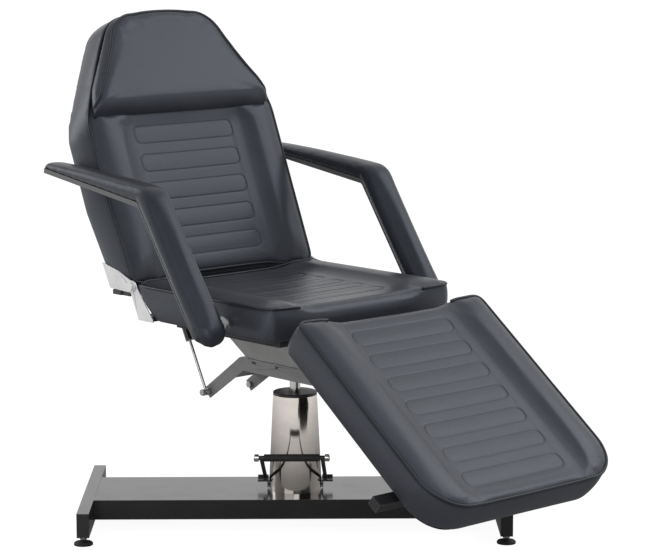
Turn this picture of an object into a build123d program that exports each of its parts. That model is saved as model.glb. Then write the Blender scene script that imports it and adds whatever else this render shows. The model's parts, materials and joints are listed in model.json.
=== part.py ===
from build123d import *
import os
from math import atan2, cos, degrees, hypot, radians, sin, tan

# A reclining tattoo chair on a foot-pumped column, in millimetres.
# +X points to the leg rest, +Y to the sitter's left, +Z up.
# The origin lies on the floor, under the middle of the whole outline at rest.
# Distances called forward are counted from the axis of the lift column.

os.makedirs("parts", exist_ok=True)

# Clearances and overrun
seat_gap = 0.3
running_gap = 0.06
thin_gap = 0.1
overrun = 5
square_turn = 90

# Base
base_turn = 48.2
crossbar_reach = 511
crossbar_length = 514
crossbar_width = 30
crossbar_height = 60
tube_wall = 2.5
floor_gap = 19.4
plank_width = 244
plank_height = 49
plank_wall = 3
plug_depth = 14
foot_inset = 15

# Levelling feet
pad_radius = 23
pad_height = 7
pad_bevel = 2.3
stem_radius = 5
stem_length = 38
nut_radius = 9
nut_height = 6
nut_sides = 6

# Column
cone_bottom_radius = 66.5
cone_top_radius = 55
cone_height = 241
cone_wall = 1.6
cap_height = 7
cap_lip = 3
flange_radius = 60
flange_thickness = 8
flange_bolt_circle = 51
flange_bolt_radius = 5
flange_bolt_height = 5
flange_bolt_count = 4
housing_radius = 42
housing_top = 300
bush_radius = 25
bush_height = 14
bush_bevel = 2.8
rod_radius = 13.5
rod_bottom = 112
rod_top_radius = 11

# Pump pedal
shaft_height = 94
shaft_radius = 6
shaft_length = 140
finger_reach = 33
finger_half_height = 4
finger_width = 12
finger_room = 4.5
plunger_offset = 26
plunger_radius = 5
plunger_height = 50
bracket_inner = 67
bracket_outer = 94
bracket_thickness = 3
bracket_half_depth = 13
bracket_bottom = 84
tray_bottom = 99.5
tray_thickness = 4
tray_half_depth = 16
lip_height = 7
pedal_foot_offset = 75
pedal_foot_height = 108.3
pedal_bar_reach = 235
pedal_bar_height = 211
pedal_bar_shift = -7
pedal_arm_offset = 73.5
pedal_arm_radius = 5
pedal_bar_radius = 5.5
grip_radius = 9
grip_half_length = 67
end_cap_radius = 9
end_cap_length = 12
end_cap_gap = 1
end_cap_round = 3

# Carrier under the seat
carrier_half_width = 70.6
carrier_wall = 4
carrier_bottom = 371
carrier_top = 405
carrier_front = 165
tail_bend_top = 129
tail_bend_bottom = 117
tail_end_top = 267
tail_end_top_height = 306.5
tail_end_bottom = 249
tail_end_bottom_height = 281.5
tail_web_share = 0.75
tail_pin_back = 249
tail_pin_height = 299
tail_pin_radius = 5
tail_pin_near = 97
tail_pin_far = 80
carrier_slot_length = 16
carrier_slot_height = 7
carrier_slot_level = 397
carrier_slots = (-75, 12)
tail_nut_radius = 9
tail_nut_height = 8
hub_radius = 24
hub_bottom = 371.3
spigot_top = 396

# Seat support
riser_bottom_half_width = 68
riser_top_half_width = 122
riser_rear_bottom = 105
riser_rear_top = 165
riser_front_bottom = 122
riser_front_top = 150
riser_wall = 3
board_thickness = 12
board_bottom = 500
board_front = 235
board_half_width = 255
board_rear = 150
board_tail = 240
board_tail_half_width = 200

# Cushions
cushion_width = 600
seat_front = 253
seat_rear_top = 250
seat_rear_bottom = 178
seat_edge = 597
seat_dish_rear = 190
front_corner_radius = 25
small_corner_radius = 12
foot_corner_radius = 105
bottom_draw = 8
middle_draw = 1
edge_draw = 3
middle_share = 0.55
crown_height = 12
crown_mid_height = 8.5
crown_mid_inset = 22
crown_inset = 60
dish_floor = 18
dish_floor_rise = 4
dish_floor_half_width = 170
dish_edge_half_width = 232
channel_length = 330
channel_height = 46
channel_pitch = 75
groove_width = 4
groove_depth = 2.5

# Backrest
back_lean = 67.7
back_start = 272
back_start_rise = 19
back_length = 703
back_thickness = 95
shoulder_start = 400
shoulder_half_width = 270
shoulder_height = 503
neck_half_width = 196
neck_height = 640
crest_half_width = 105
crest_drop = 6
shoulder_bulge = 7
neck_bulge_out = 14
neck_bulge_up = 11
back_dish_end = 392
back_channels = 5
back_first_channel = 66
back_board_thickness = 12
back_board_inset = 25
back_board_start = 60
rail_width = 30
rail_depth = 20
rail_offset = 200
rail_top = 450

# Head cushion
head_start = 428
head_half_width = 284
head_crest = 478
head_thickness = 44
head_edge_thickness = 12
head_tilt = 6
head_foot_inset = 4
head_edge_inset = 2
head_side_inset = 34
head_roll = 8

# Back hinge
hinge_back = 270
hinge_height = 592
hinge_radius = 15
hinge_bolt_radius = 6
hinge_head_radius = 11
hinge_head_height = 5
plate_thickness = 3
plate_gap = 0.5
crossbar_front = 283
crossbar_notch_rear = 314
crossbar_side_rear = 347
crossbar_rail_rear = 397
crossbar_top = 577
crossbar_thickness = 12
back_plate_points = ((386, 641), (354, 580), (284, 577), (270, 577), (270, 607), (319, 626))
seat_plate_points = ((277, 579), (244, 511), (186, 511), (190, 520), (257, 599), (272, 606))
rear_bar_front = 194
rear_bar_thickness = 12

# Gas spring of the backrest
spring_y = 81.4
lug_pin_back = 391.4
lug_pin_height = 574.8
spring_rod_radius = 4
spring_rod_length = 168
spring_radius = 10.5
spring_bore = 7.5
spring_tube_start = 141
spring_tube_length = 160
spring_guide = 7
piston_height = 8
tube_end_wall = 3
eye_radius = 9
eye_half_width = 3.5
lug_y = 94.5
lug_thickness = 4
back_lug_points = ((330, 565), (330, 553), (366, 553), (396, 562), (404, 573), (400, 584), (389, 587),
                   (376, 577), (364, 568), (349, 568), (349, 565))

# Leg rest
leg_drop = 36.9
leg_start = 342.6
leg_start_rise = 68.7
leg_length = 602
leg_thickness = 90
leg_channels = 7
leg_first_channel = 77
leg_dish_end = 562
leg_board_start = 26
leg_board_end = 580
leg_board_half_width = 272
leg_pivot_along = 12
leg_pivot_depth = 116.91
leg_pin_radius = 6
leg_rail_width = 30
leg_rail_height = 25
leg_rail_inner = 157
leg_rail_nose = 5
ear_thickness = 6
ear_radius = 15
ear_rear = 195
handle_place = 461
handle_width = 30
handle_height = 25
handle_half_length = 335

# Gas spring of the leg rest
leg_spring_pin_forward = 145
leg_spring_pin_height = 386
leg_lug_place = 200
leg_lug_depth = 116
leg_tube_start = 100
leg_tube_length = 165
leg_rod_length = 172
leg_lug_inner = 5
lug_base_width = 30
lug_half_length = 11

# Armrests
arm_inner = 333
arm_outer = 398
arm_rear = 503
arm_rear_rise = 341
arm_rear_bottom_rise = 316
elbow_back = 81
elbow_rise = 308
crook_back = 118
crook_rise = 263
post_rear_end = 87
post_rear_drop = 34
post_front_end = 134
post_front_drop = 6
post_tip = 110
post_tip_drop = 46
elbow_radius = 55
crook_radius = 14
arm_tip_radius = 5
arm_board_thickness = 12
arm_post_board = 4
arm_board_inset = 3
arm_core_thickness = 7
arm_core_width = 38
arm_pivot_forward = 92
arm_pivot_rise = 36
arm_stud_radius = 5
arm_stud_depth = 55
arm_boss_radius = 17
bush_outer_radius = 8
spacer_radius = 16
spacer_start = 10
knob_reach = 334
core_reach = 345
arm_levels = ((0, 6), (0.1, 2), (0.5, 0), (0.9, 2), (1, 6))
arm_bracket_thickness = 6
arm_bracket_half_width = 16
knob_radius = 3
knob_length = 9

# Release lever of the backrest
lever_back = 100
lever_pin_y = 240
lever_pin_height = 484
lever_hub_radius = 7
lever_pin_radius = 3
lever_half_width = 9
lever_end_y = 330
lever_thickness = 6
clevis_wall = 4
clevis_half_depth = 9

# Planes and places worked out from the sizes above
leg_board_depth = leg_thickness + seat_gap
leg_rail_depth = leg_board_depth + board_thickness
back_board_depth = back_thickness + seat_gap
back_rail_depth = back_board_depth + back_board_thickness
back_board_top = back_length - back_board_inset
front_reach = leg_start + (leg_length - edge_draw) * cos(radians(leg_drop))
rear_reach = (back_start + back_board_top * cos(radians(back_lean))
              + back_rail_depth * sin(radians(back_lean)))
column_x = (rear_reach - front_reach) / 2

half_cushion = cushion_width / 2
plank_top = floor_gap + crossbar_height
cone_top = plank_top + cone_height
seat_bottom = board_bottom + board_thickness + seat_gap
board_top = board_bottom + board_thickness
carrier_inner = carrier_half_width - carrier_wall

# The backrest starts a little above its hinge
back_start_height = hinge_height + back_start_rise

# Heights of the leg rest and the armrests, all carried up from the seat board
leg_start_height = board_top + leg_start_rise
leg_pivot_forward = (leg_start + leg_pivot_along * cos(radians(leg_drop))
                     - leg_pivot_depth * sin(radians(leg_drop)))
leg_pivot_height = (leg_start_height - leg_pivot_along * sin(radians(leg_drop))
                    - leg_pivot_depth * cos(radians(leg_drop)))
arm_pivot_height = board_top + arm_pivot_rise
arm_rear_top = arm_pivot_height + arm_rear_rise
arm_rear_bottom = arm_pivot_height + arm_rear_bottom_rise
elbow_height = arm_pivot_height + elbow_rise
crook_height = arm_pivot_height + crook_rise
post_rear_end_height = arm_pivot_height - post_rear_drop
post_front_end_height = arm_pivot_height - post_front_drop
post_tip_height = arm_pivot_height - post_tip_drop

base_plane = Plane(origin=(column_x, 0, 0), z_dir=(0, 0, 1)).rotated((0, 0, base_turn))
seat_plane = Plane(origin=(column_x, 0, seat_edge), x_dir=(0, -1, 0), z_dir=(0, 0, 1))
back_plane = Plane(origin=(column_x - back_start, 0, back_start_height), x_dir=(0, 1, 0),
                   z_dir=(sin(radians(back_lean)), 0, cos(radians(back_lean))))
leg_plane = Plane(origin=(column_x + leg_start, 0, leg_start_height), x_dir=(0, -1, 0),
                  z_dir=(sin(radians(leg_drop)), 0, cos(radians(leg_drop))))


def side_plane(y):
    """A plane facing +Y at this y, with sketch x forward and sketch y down."""
    return Plane(origin=(column_x, y, 0), x_dir=(1, 0, 0), z_dir=(0, 1, 0))


def side_outline(y, points):
    """A closed outline of (forward, height) points, drawn on the plane at this y."""
    with BuildSketch(side_plane(y)) as outline:
        with BuildLine():
            Polyline(*[(forward, -height) for forward, height in points], close=True)
        make_face()
    return outline.sketch


def end_plane(plane, along):
    """A plane across a cushion, at this distance along it, with sketch y down into it."""
    return Plane(origin=plane.origin + plane.y_dir * along, x_dir=plane.x_dir, z_dir=plane.y_dir)


def finish(piece, name):
    """Label one finished piece and write it."""
    piece.part.label = name
    export_step(piece.part, "parts/" + name + ".step")


# Base: plank, crossbars and plugs
plank_half_length = crossbar_reach - crossbar_width / 2

with BuildPart() as base_plank:
    with BuildSketch(base_plane.offset(plank_top - plank_height)):
        Rectangle(2 * plank_half_length, plank_width)
    extrude(amount=plank_height)
    with BuildSketch(base_plane.offset(plank_top - plank_height + plank_wall)):
        Rectangle(2 * (plank_half_length + overrun), plank_width - 2 * plank_wall)
    extrude(amount=plank_height - 2 * plank_wall, mode=Mode.SUBTRACT)
finish(base_plank, "base_plank")

foot_reach = crossbar_length / 2 - foot_inset

for side, end in ((-1, "left"), (1, "right")):
    with BuildPart() as base_crossbar:
        with BuildSketch(base_plane.offset(floor_gap)):
            with Locations((side * crossbar_reach, 0)):
                Rectangle(crossbar_width, crossbar_length)
        extrude(amount=crossbar_height)
        with BuildSketch(base_plane.offset(floor_gap + tube_wall)):
            with Locations((side * crossbar_reach, 0)):
                Rectangle(crossbar_width - 2 * tube_wall, crossbar_length + 2 * overrun)
        extrude(amount=crossbar_height - 2 * tube_wall, mode=Mode.SUBTRACT)
        with BuildSketch(base_plane.offset(floor_gap - overrun)):
            with Locations((side * crossbar_reach, -foot_reach), (side * crossbar_reach, foot_reach)):
                Circle(stem_radius + running_gap)
        extrude(amount=tube_wall + 2 * overrun, mode=Mode.SUBTRACT)
    finish(base_crossbar, "base_crossbar_" + end)

with BuildPart() as crossbar_plugs:
    for across in (-1, 1):
        for side in (-1, 1):
            plug_middle = side * (crossbar_length - plug_depth) / 2
            with BuildSketch(base_plane.offset(floor_gap + tube_wall)):
                with Locations((across * crossbar_reach, plug_middle)):
                    Rectangle(crossbar_width - 2 * tube_wall, plug_depth)
                with Locations((across * crossbar_reach, side * foot_reach)):
                    Circle(stem_radius + 2 * seat_gap, mode=Mode.SUBTRACT)
            extrude(amount=crossbar_height - 2 * tube_wall)
finish(crossbar_plugs, "crossbar_plugs")

# Levelling feet, each a screw that can be turned out, and their lock nuts
foot_names = {(-1, -1): "foot_near_left", (1, -1): "foot_near_right",
              (-1, 1): "foot_far_left", (1, 1): "foot_far_right"}

for (across, side), name in foot_names.items():
    foot_place = (across * crossbar_reach, side * foot_reach)
    with BuildPart() as levelling_foot:
        with BuildSketch(base_plane):
            with Locations(foot_place):
                Circle(pad_radius)
        extrude(amount=pad_height)
        chamfer(levelling_foot.edges().group_by(Axis.Z)[-1], pad_bevel)
        with BuildSketch(base_plane.offset(pad_height)):
            with Locations(foot_place):
                Circle(stem_radius)
        extrude(amount=stem_length)
    finish(levelling_foot, name)

with BuildPart() as foot_nuts:
    with BuildSketch(base_plane.offset(floor_gap - nut_height)):
        for across, side in foot_names:
            with Locations((across * crossbar_reach, side * foot_reach)):
                RegularPolygon(nut_radius, nut_sides)
                Circle(stem_radius + running_gap, mode=Mode.SUBTRACT)
    extrude(amount=nut_height)
finish(foot_nuts, "foot_nuts")

# Pump: flange with bolts, housing with its bore, guide bush
flange_top = plank_top + flange_thickness

with BuildPart() as pump_flange:
    with BuildSketch(base_plane.offset(plank_top)):
        Circle(flange_radius)
        Circle(housing_radius, mode=Mode.SUBTRACT)
    extrude(amount=flange_thickness)
finish(pump_flange, "pump_flange")

with BuildPart() as flange_bolts:
    with BuildSketch(base_plane.offset(flange_top)):
        with PolarLocations(flange_bolt_circle, flange_bolt_count, start_angle=square_turn / 2):
            RegularPolygon(flange_bolt_radius, nut_sides)
    extrude(amount=flange_bolt_height)
finish(flange_bolts, "flange_bolts")

finger_pocket = finger_reach + plate_gap + seat_gap
shaft_line = Plane(origin=base_plane.origin + Vector(0, 0, shaft_height),
                   x_dir=base_plane.y_dir, z_dir=base_plane.x_dir)

with BuildPart() as pump_housing:
    with BuildSketch(base_plane.offset(plank_top)):
        Circle(housing_radius)
    extrude(amount=housing_top - plank_top)
    with BuildSketch(base_plane.offset(rod_bottom - seat_gap)):
        Circle(rod_radius + running_gap)
    extrude(amount=housing_top, mode=Mode.SUBTRACT)
    with BuildSketch(shaft_line.offset(-shaft_length)):
        Circle(shaft_radius + running_gap)
    extrude(amount=2 * shaft_length, mode=Mode.SUBTRACT)
    with BuildSketch(base_plane.offset(shaft_height - 2 * shaft_radius)):
        with Locations((0, finger_pocket / 2)):
            Rectangle(finger_width + 2 * plate_gap, finger_pocket)
    extrude(amount=rod_bottom - shaft_height + shaft_radius + finger_room, mode=Mode.SUBTRACT)
    with BuildSketch(base_plane.offset(shaft_height)):
        with Locations((0, plunger_offset)):
            Circle(plunger_radius + running_gap)
    extrude(amount=plunger_height + plunger_offset, mode=Mode.SUBTRACT)
finish(pump_housing, "pump_housing")

with BuildPart() as guide_bush:
    with BuildSketch(base_plane.offset(housing_top)):
        Circle(bush_radius)
        Circle(rod_radius + running_gap, mode=Mode.SUBTRACT)
    extrude(amount=bush_height)
    chamfer(guide_bush.edges().group_by(Axis.Z)[-1].sort_by(SortBy.RADIUS)[-1], bush_bevel)
finish(guide_bush, "guide_bush")

# Polished tapered cover with holes for the rocker shaft, and its black cap
with BuildPart() as cone_cover:
    with Locations((column_x, 0, plank_top)):
        Cone(cone_bottom_radius, cone_top_radius, cone_height, align=(Align.CENTER, Align.CENTER, Align.MIN))
        Cone(cone_bottom_radius - cone_wall, cone_top_radius - cone_wall, cone_height,
             align=(Align.CENTER, Align.CENTER, Align.MIN), mode=Mode.SUBTRACT)
    with BuildSketch(shaft_line.offset(-shaft_length)):
        Circle(shaft_radius + seat_gap)
    extrude(amount=2 * shaft_length, mode=Mode.SUBTRACT)
finish(cone_cover, "cone_cover")

with BuildPart() as cone_cap:
    with BuildSketch(base_plane.offset(cone_top)):
        Circle(cone_top_radius)
        Circle(rod_radius + seat_gap, mode=Mode.SUBTRACT)
    extrude(amount=cap_height)
    fillet(cone_cap.edges().group_by(Axis.Z)[-1].sort_by(SortBy.RADIUS)[-1], cap_lip)
finish(cone_cap, "cone_cap")

# Piston rod with the spigot that carries the hub
with BuildPart() as piston_rod:
    with BuildSketch(base_plane.offset(rod_bottom)):
        Circle(rod_radius)
    extrude(amount=hub_bottom - seat_gap - rod_bottom)
    with BuildSketch(base_plane.offset(hub_bottom - seat_gap)):
        Circle(rod_top_radius)
    extrude(amount=spigot_top - hub_bottom)
finish(piston_rod, "piston_rod")

# Rocker shaft with its finger, and the plunger that the finger lifts
with BuildPart() as rocker_shaft:
    with BuildSketch(shaft_line.offset(-shaft_length / 2)):
        Circle(shaft_radius)
    extrude(amount=shaft_length)
    with BuildSketch(base_plane.offset(shaft_height - finger_half_height)):
        with Locations((0, finger_reach / 2)):
            Rectangle(finger_width, finger_reach)
    extrude(amount=2 * finger_half_height)
finish(rocker_shaft, "rocker_shaft")

with BuildPart() as pump_plunger:
    with BuildSketch(base_plane.offset(shaft_height + finger_half_height + seat_gap)):
        with Locations((0, plunger_offset)):
            Circle(plunger_radius)
    extrude(amount=plunger_height)
finish(pump_plunger, "pump_plunger")

# Pedal: folded brackets on the shaft's ends, arms with the bar, grip and end caps
tray_top = tray_bottom + tray_thickness

with BuildPart() as pedal_brackets:
    for side in (-1, 1):
        with BuildSketch(base_plane.offset(bracket_bottom)):
            with Locations((side * (bracket_inner + bracket_thickness / 2), 0)):
                Rectangle(bracket_thickness, 2 * bracket_half_depth)
        extrude(amount=tray_top - bracket_bottom)
        tray_middle = side * (bracket_inner + bracket_outer) / 2
        with BuildSketch(base_plane.offset(tray_bottom)):
            with Locations((tray_middle, 0)):
                Rectangle(bracket_outer - bracket_inner, 2 * tray_half_depth)
        extrude(amount=tray_thickness)
        with BuildSketch(base_plane.offset(tray_top)):
            with Locations((tray_middle, tray_half_depth - bracket_thickness / 2)):
                Rectangle(bracket_outer - bracket_inner, bracket_thickness)
        extrude(amount=lip_height)
    with BuildSketch(shaft_line.offset(-shaft_length)):
        Circle(shaft_radius + running_gap)
    extrude(amount=2 * shaft_length, mode=Mode.SUBTRACT)
finish(pedal_brackets, "pedal_brackets")

bar_half_length = pedal_arm_offset + end_cap_length
bar_line = Plane(origin=base_plane.from_local_coords(
    Vector(pedal_bar_shift, -pedal_bar_reach, pedal_bar_height)),
    x_dir=base_plane.y_dir, z_dir=base_plane.x_dir)

with BuildPart() as pedal_bar:
    for side in (-1, 1):
        arm_foot = base_plane.from_local_coords(Vector(side * pedal_foot_offset, 0, pedal_foot_height))
        arm_head = base_plane.from_local_coords(Vector(pedal_bar_shift + side * pedal_arm_offset,
                                                       -pedal_bar_reach, pedal_bar_height))
        with BuildSketch(Plane(origin=arm_foot, z_dir=arm_head - arm_foot)):
            Circle(pedal_arm_radius)
        extrude(amount=(arm_head - arm_foot).length)
    with BuildSketch(bar_line.offset(-bar_half_length)):
        Circle(pedal_bar_radius)
    extrude(amount=2 * bar_half_length)
    with BuildSketch(base_plane.offset(tray_top)):
        with Locations((-pedal_foot_offset, 0), (pedal_foot_offset, 0)):
            Rectangle(2 * pedal_arm_radius, bracket_half_depth)
    extrude(amount=2 * (pedal_foot_height - tray_top))
finish(pedal_bar, "pedal_bar")

with BuildPart() as pedal_grip:
    with BuildSketch(bar_line.offset(-grip_half_length)):
        Circle(grip_radius)
        Circle(pedal_bar_radius + running_gap, mode=Mode.SUBTRACT)
    extrude(amount=2 * grip_half_length)
finish(pedal_grip, "pedal_grip")

with BuildPart() as pedal_end_caps:
    for side in (-1, 1):
        cap_start = pedal_arm_offset + pedal_arm_radius + end_cap_gap
        with BuildSketch(bar_line.offset(side * cap_start)):
            Circle(end_cap_radius)
            Circle(pedal_bar_radius + running_gap, mode=Mode.SUBTRACT)
        extrude(amount=side * end_cap_length)
        fillet(pedal_end_caps.faces().sort_by(Axis(bar_line.origin, bar_line.z_dir))[0 if side < 0 else -1]
               .edges().sort_by(SortBy.RADIUS)[-1], end_cap_round)
finish(pedal_end_caps, "pedal_end_caps")

# Carrier: a folded channel, open below, with its tail bent down
tail_web_end = tail_bend_top + tail_web_share * (tail_end_top - tail_bend_top)
tail_web_height = carrier_top - tail_web_share * (carrier_top - tail_end_top_height)
flange_points = [(carrier_front, carrier_top), (-tail_bend_top, carrier_top),
                 (-tail_end_top, tail_end_top_height), (-tail_end_bottom, tail_end_bottom_height),
                 (-tail_bend_bottom, carrier_bottom), (carrier_front, carrier_bottom)]
web_points = [(carrier_front, carrier_top), (-tail_bend_top, carrier_top),
              (-tail_web_end, tail_web_height), (-tail_web_end, tail_web_height - carrier_wall),
              (-tail_bend_top, carrier_top - carrier_wall), (carrier_front, carrier_top - carrier_wall)]

with BuildPart() as seat_carrier:
    for side in (-1, 1):
        extrude(side_outline(side * carrier_inner, flange_points), amount=side * carrier_wall)
    extrude(side_outline(-carrier_half_width, web_points), amount=2 * carrier_half_width)
    with BuildSketch(side_plane(-carrier_half_width - overrun)):
        with Locations((-tail_pin_back, -tail_pin_height)):
            Circle(tail_pin_radius + running_gap)
        with Locations((leg_spring_pin_forward, -leg_spring_pin_height)):
            Circle(tail_pin_radius + running_gap)
        with Locations(*[(place, -carrier_slot_level) for place in carrier_slots]):
            SlotOverall(carrier_slot_length, carrier_slot_height)
    extrude(amount=2 * (carrier_half_width + overrun), mode=Mode.SUBTRACT)
finish(seat_carrier, "seat_carrier")

with BuildPart() as swivel_hub:
    with BuildSketch(Plane(origin=(column_x, 0, hub_bottom))):
        Circle(hub_radius)
    extrude(amount=carrier_top - carrier_wall - hub_bottom)
    with BuildSketch(Plane(origin=(column_x, 0, hub_bottom))):
        Circle(rod_top_radius + running_gap)
    extrude(amount=spigot_top - hub_bottom, mode=Mode.SUBTRACT)
finish(swivel_hub, "swivel_hub")

with BuildPart() as tail_bolts:
    for start, end in ((-tail_pin_near, tail_nut_height - carrier_inner),
                       (carrier_inner - tail_nut_height, tail_pin_far)):
        with BuildSketch(side_plane(start)):
            with Locations((-tail_pin_back, -tail_pin_height)):
                Circle(tail_pin_radius)
        extrude(amount=end - start)
    for y in (-tail_pin_near, -carrier_inner, carrier_inner - tail_nut_height, carrier_half_width):
        with BuildSketch(side_plane(y)):
            with Locations((-tail_pin_back, -tail_pin_height)):
                RegularPolygon(tail_nut_radius, nut_sides)
        extrude(amount=tail_nut_height)
    with BuildSketch(side_plane(-carrier_half_width)):
        with Locations((-tail_pin_back, -tail_pin_height)):
            Circle(tail_nut_radius)
    extrude(amount=carrier_half_width - spring_y + eye_half_width + plate_gap)
finish(tail_bolts, "tail_bolts")

with BuildPart() as leg_spring_pin:
    with BuildSketch(side_plane(-carrier_half_width - 2 * seat_gap)):
        with Locations((leg_spring_pin_forward, -leg_spring_pin_height)):
            Circle(tail_pin_radius)
    extrude(amount=2 * (carrier_half_width + 2 * seat_gap))
finish(leg_spring_pin, "leg_spring_pin")


# Tapered riser between the carrier and the seat board
def riser_section(height, half_width, rear, front, wall):
    with BuildSketch(Plane(origin=(column_x, 0, height))) as section:
        with Locations(((front - rear) / 2, 0)):
            Rectangle(front + rear - 2 * wall, 2 * (half_width - wall))
    return section.sketch


with BuildPart() as seat_riser:
    loft(sections=[riser_section(carrier_top, riser_bottom_half_width, riser_rear_bottom,
                                 riser_front_bottom, 0),
                   riser_section(board_bottom, riser_top_half_width, riser_rear_top, riser_front_top, 0)])
    loft(sections=[riser_section(carrier_top, riser_bottom_half_width, riser_rear_bottom, riser_front_bottom,
                                 riser_wall),
                   riser_section(board_bottom, riser_top_half_width, riser_rear_top, riser_front_top,
                                 riser_wall)], mode=Mode.SUBTRACT)
finish(seat_riser, "seat_riser")

with BuildPart() as seat_board:
    with BuildSketch(Plane(origin=(column_x, 0, board_bottom))):
        with Locations(((board_front - board_rear) / 2, 0)):
            Rectangle(board_front + board_rear, 2 * board_half_width)
        with Locations((-board_tail / 2, 0)):
            Rectangle(board_tail, 2 * board_tail_half_width)
    extrude(amount=board_thickness)
finish(seat_board, "seat_board")


# Dish between a cushion's side bolsters, and the sewn channels in it
def dish_profile(plane, along, drop):
    """The space above the dish, across the cushion at this distance along it."""
    with BuildSketch(end_plane(plane, along)) as profile:
        with BuildLine():
            rim = drop - 2 * crown_height
            side = dish_floor - dish_floor_rise + drop
            ThreePointArc((-dish_floor_half_width, side), (0, dish_floor + drop),
                          (dish_floor_half_width, side))
            Polyline((dish_floor_half_width, side), (dish_edge_half_width, drop - crown_height),
                     (dish_edge_half_width, rim), (-dish_edge_half_width, rim),
                     (-dish_edge_half_width, drop - crown_height), (-dish_floor_half_width, side))
        make_face()
    return profile.sketch


def channel_grooves(plane, places):
    """Narrow grooves round each sewn oval, as deep everywhere as groove_depth."""
    with BuildPart() as grooves:
        with BuildSketch(plane.offset(-dish_floor - 2 * groove_depth)):
            with Locations(*[(0, place) for place in places]):
                SlotOverall(channel_length, channel_height)
                SlotOverall(channel_length - 2 * groove_width, channel_height - 2 * groove_width,
                            mode=Mode.SUBTRACT)
        extrude(amount=dish_floor + 2 * crown_height)
        loft(sections=[dish_profile(plane, min(places) - channel_pitch, groove_depth),
                       dish_profile(plane, max(places) + channel_pitch, groove_depth)],
             ruled=True, mode=Mode.INTERSECT)
    return grooves.part


side_levels = ((1, bottom_draw), (middle_share, middle_draw), (0, edge_draw))
crown_levels = ((0, edge_draw), (crown_mid_height, crown_mid_inset), (crown_height, crown_inset))


# Seat cushion
def seat_section(up, draw, rear):
    with BuildSketch(seat_plane.offset(up)) as section:
        with Locations((0, (seat_front - rear) / 2)):
            Rectangle(cushion_width - 2 * draw, seat_front + rear - 2 * draw)
        fillet(section.vertices().group_by(Axis.Y)[-1], front_corner_radius)
        fillet(section.vertices().group_by(Axis.Y)[0], small_corner_radius)
    return section.sketch


seat_thickness = seat_edge - seat_bottom
seat_channels = [channel_pitch * count for count in (-2, -1, 0, 1, 2)]

with BuildPart() as seat_cushion:
    loft(sections=[seat_section(-share * seat_thickness, draw,
                                seat_rear_top + share * (seat_rear_bottom - seat_rear_top))
                   for share, draw in side_levels])
    loft(sections=[seat_section(up, draw, seat_rear_top) for up, draw in crown_levels])
    loft(sections=[dish_profile(seat_plane, -seat_rear_top - overrun, -dish_floor),
                   dish_profile(seat_plane, -seat_dish_rear, 0)], ruled=True, mode=Mode.SUBTRACT)
    loft(sections=[dish_profile(seat_plane, -seat_dish_rear, 0),
                   dish_profile(seat_plane, seat_front + overrun, 0)], ruled=True, mode=Mode.SUBTRACT)
    add(channel_grooves(seat_plane, seat_channels), mode=Mode.SUBTRACT)
    for side in (-1, 1):
        bracket_start = half_cushion - arm_stud_depth - arm_bracket_thickness - seat_gap
        with BuildSketch(side_plane(side * bracket_start)):
            with Locations((arm_pivot_forward, -arm_pivot_height)):
                Circle(bush_outer_radius + seat_gap)
        extrude(amount=side * 2 * arm_stud_depth, mode=Mode.SUBTRACT)
        with BuildSketch(side_plane(side * bracket_start)):
            with Locations((arm_pivot_forward, -arm_pivot_height + seat_edge - board_bottom)):
                Rectangle(2 * (arm_bracket_half_width + seat_gap),
                          2 * (arm_bracket_half_width + seat_gap + seat_edge - board_bottom))
        extrude(amount=side * (arm_bracket_thickness + 2 * seat_gap), mode=Mode.SUBTRACT)
finish(seat_cushion, "seat_cushion")


# Leg cushion
def leg_section(up, draw):
    with BuildSketch(leg_plane.offset(up)) as section:
        with Locations((0, leg_length / 2)):
            Rectangle(cushion_width - 2 * draw, leg_length - 2 * draw)
        fillet(section.vertices().group_by(Axis.Y)[-1], foot_corner_radius)
        fillet(section.vertices().group_by(Axis.Y)[0], small_corner_radius)
    return section.sketch


leg_channel_places = [leg_first_channel + channel_pitch * count for count in range(leg_channels)]

with BuildPart() as leg_cushion:
    loft(sections=[leg_section(-share * leg_thickness, draw) for share, draw in side_levels])
    loft(sections=[leg_section(up, draw) for up, draw in crown_levels])
    loft(sections=[dish_profile(leg_plane, -overrun, 0), dish_profile(leg_plane, leg_dish_end, 0)],
         ruled=True, mode=Mode.SUBTRACT)
    loft(sections=[dish_profile(leg_plane, leg_dish_end, 0),
                   dish_profile(leg_plane, leg_length + overrun, -dish_floor)],
         ruled=True, mode=Mode.SUBTRACT)
    add(channel_grooves(leg_plane, leg_channel_places), mode=Mode.SUBTRACT)
finish(leg_cushion, "leg_cushion")


# Backrest cushion
def crest_lines(neck, neck_up, crest, top):
    """The rounded upper end of the backrest, from its neck to the middle."""
    out = (neck_half_width + crest_half_width) / 2 + neck_bulge_out
    up = (neck_height + back_length - crest_drop) / 2 + neck_bulge_up
    ThreePointArc((neck, neck_up), (out + (neck - neck_half_width), up + (top - back_length) / 2),
                  (crest, top - crest_drop))
    TangentArc((0, top), (crest, top - crest_drop), tangent=(1, 0))


def back_section(up, draw, start):
    """The backrest's outline, drawn in by draw, on the plane this far up from its face."""
    wide = half_cushion - draw
    shoulder = shoulder_half_width - draw
    neck = neck_half_width - draw
    neck_up = neck_height - draw / 2
    bulge = (half_cushion + shoulder_half_width) / 2 + shoulder_bulge - draw
    with BuildSketch(back_plane.offset(up)) as section:
        with BuildLine():
            Line((0, start), (wide - small_corner_radius, start))
            JernArc((wide - small_corner_radius, start), (1, 0), small_corner_radius, square_turn)
            Line((wide, start + small_corner_radius), (wide, shoulder_start))
            ThreePointArc((wide, shoulder_start), (bulge, (shoulder_start + shoulder_height) / 2),
                          (shoulder, shoulder_height))
            Line((shoulder, shoulder_height), (neck, neck_up))
            crest_lines(neck, neck_up, crest_half_width - draw, back_length - draw)
            mirror(about=Plane.YZ)
        make_face()
    return section.sketch


back_channel_places = [back_first_channel + channel_pitch * count for count in range(back_channels)]

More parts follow.
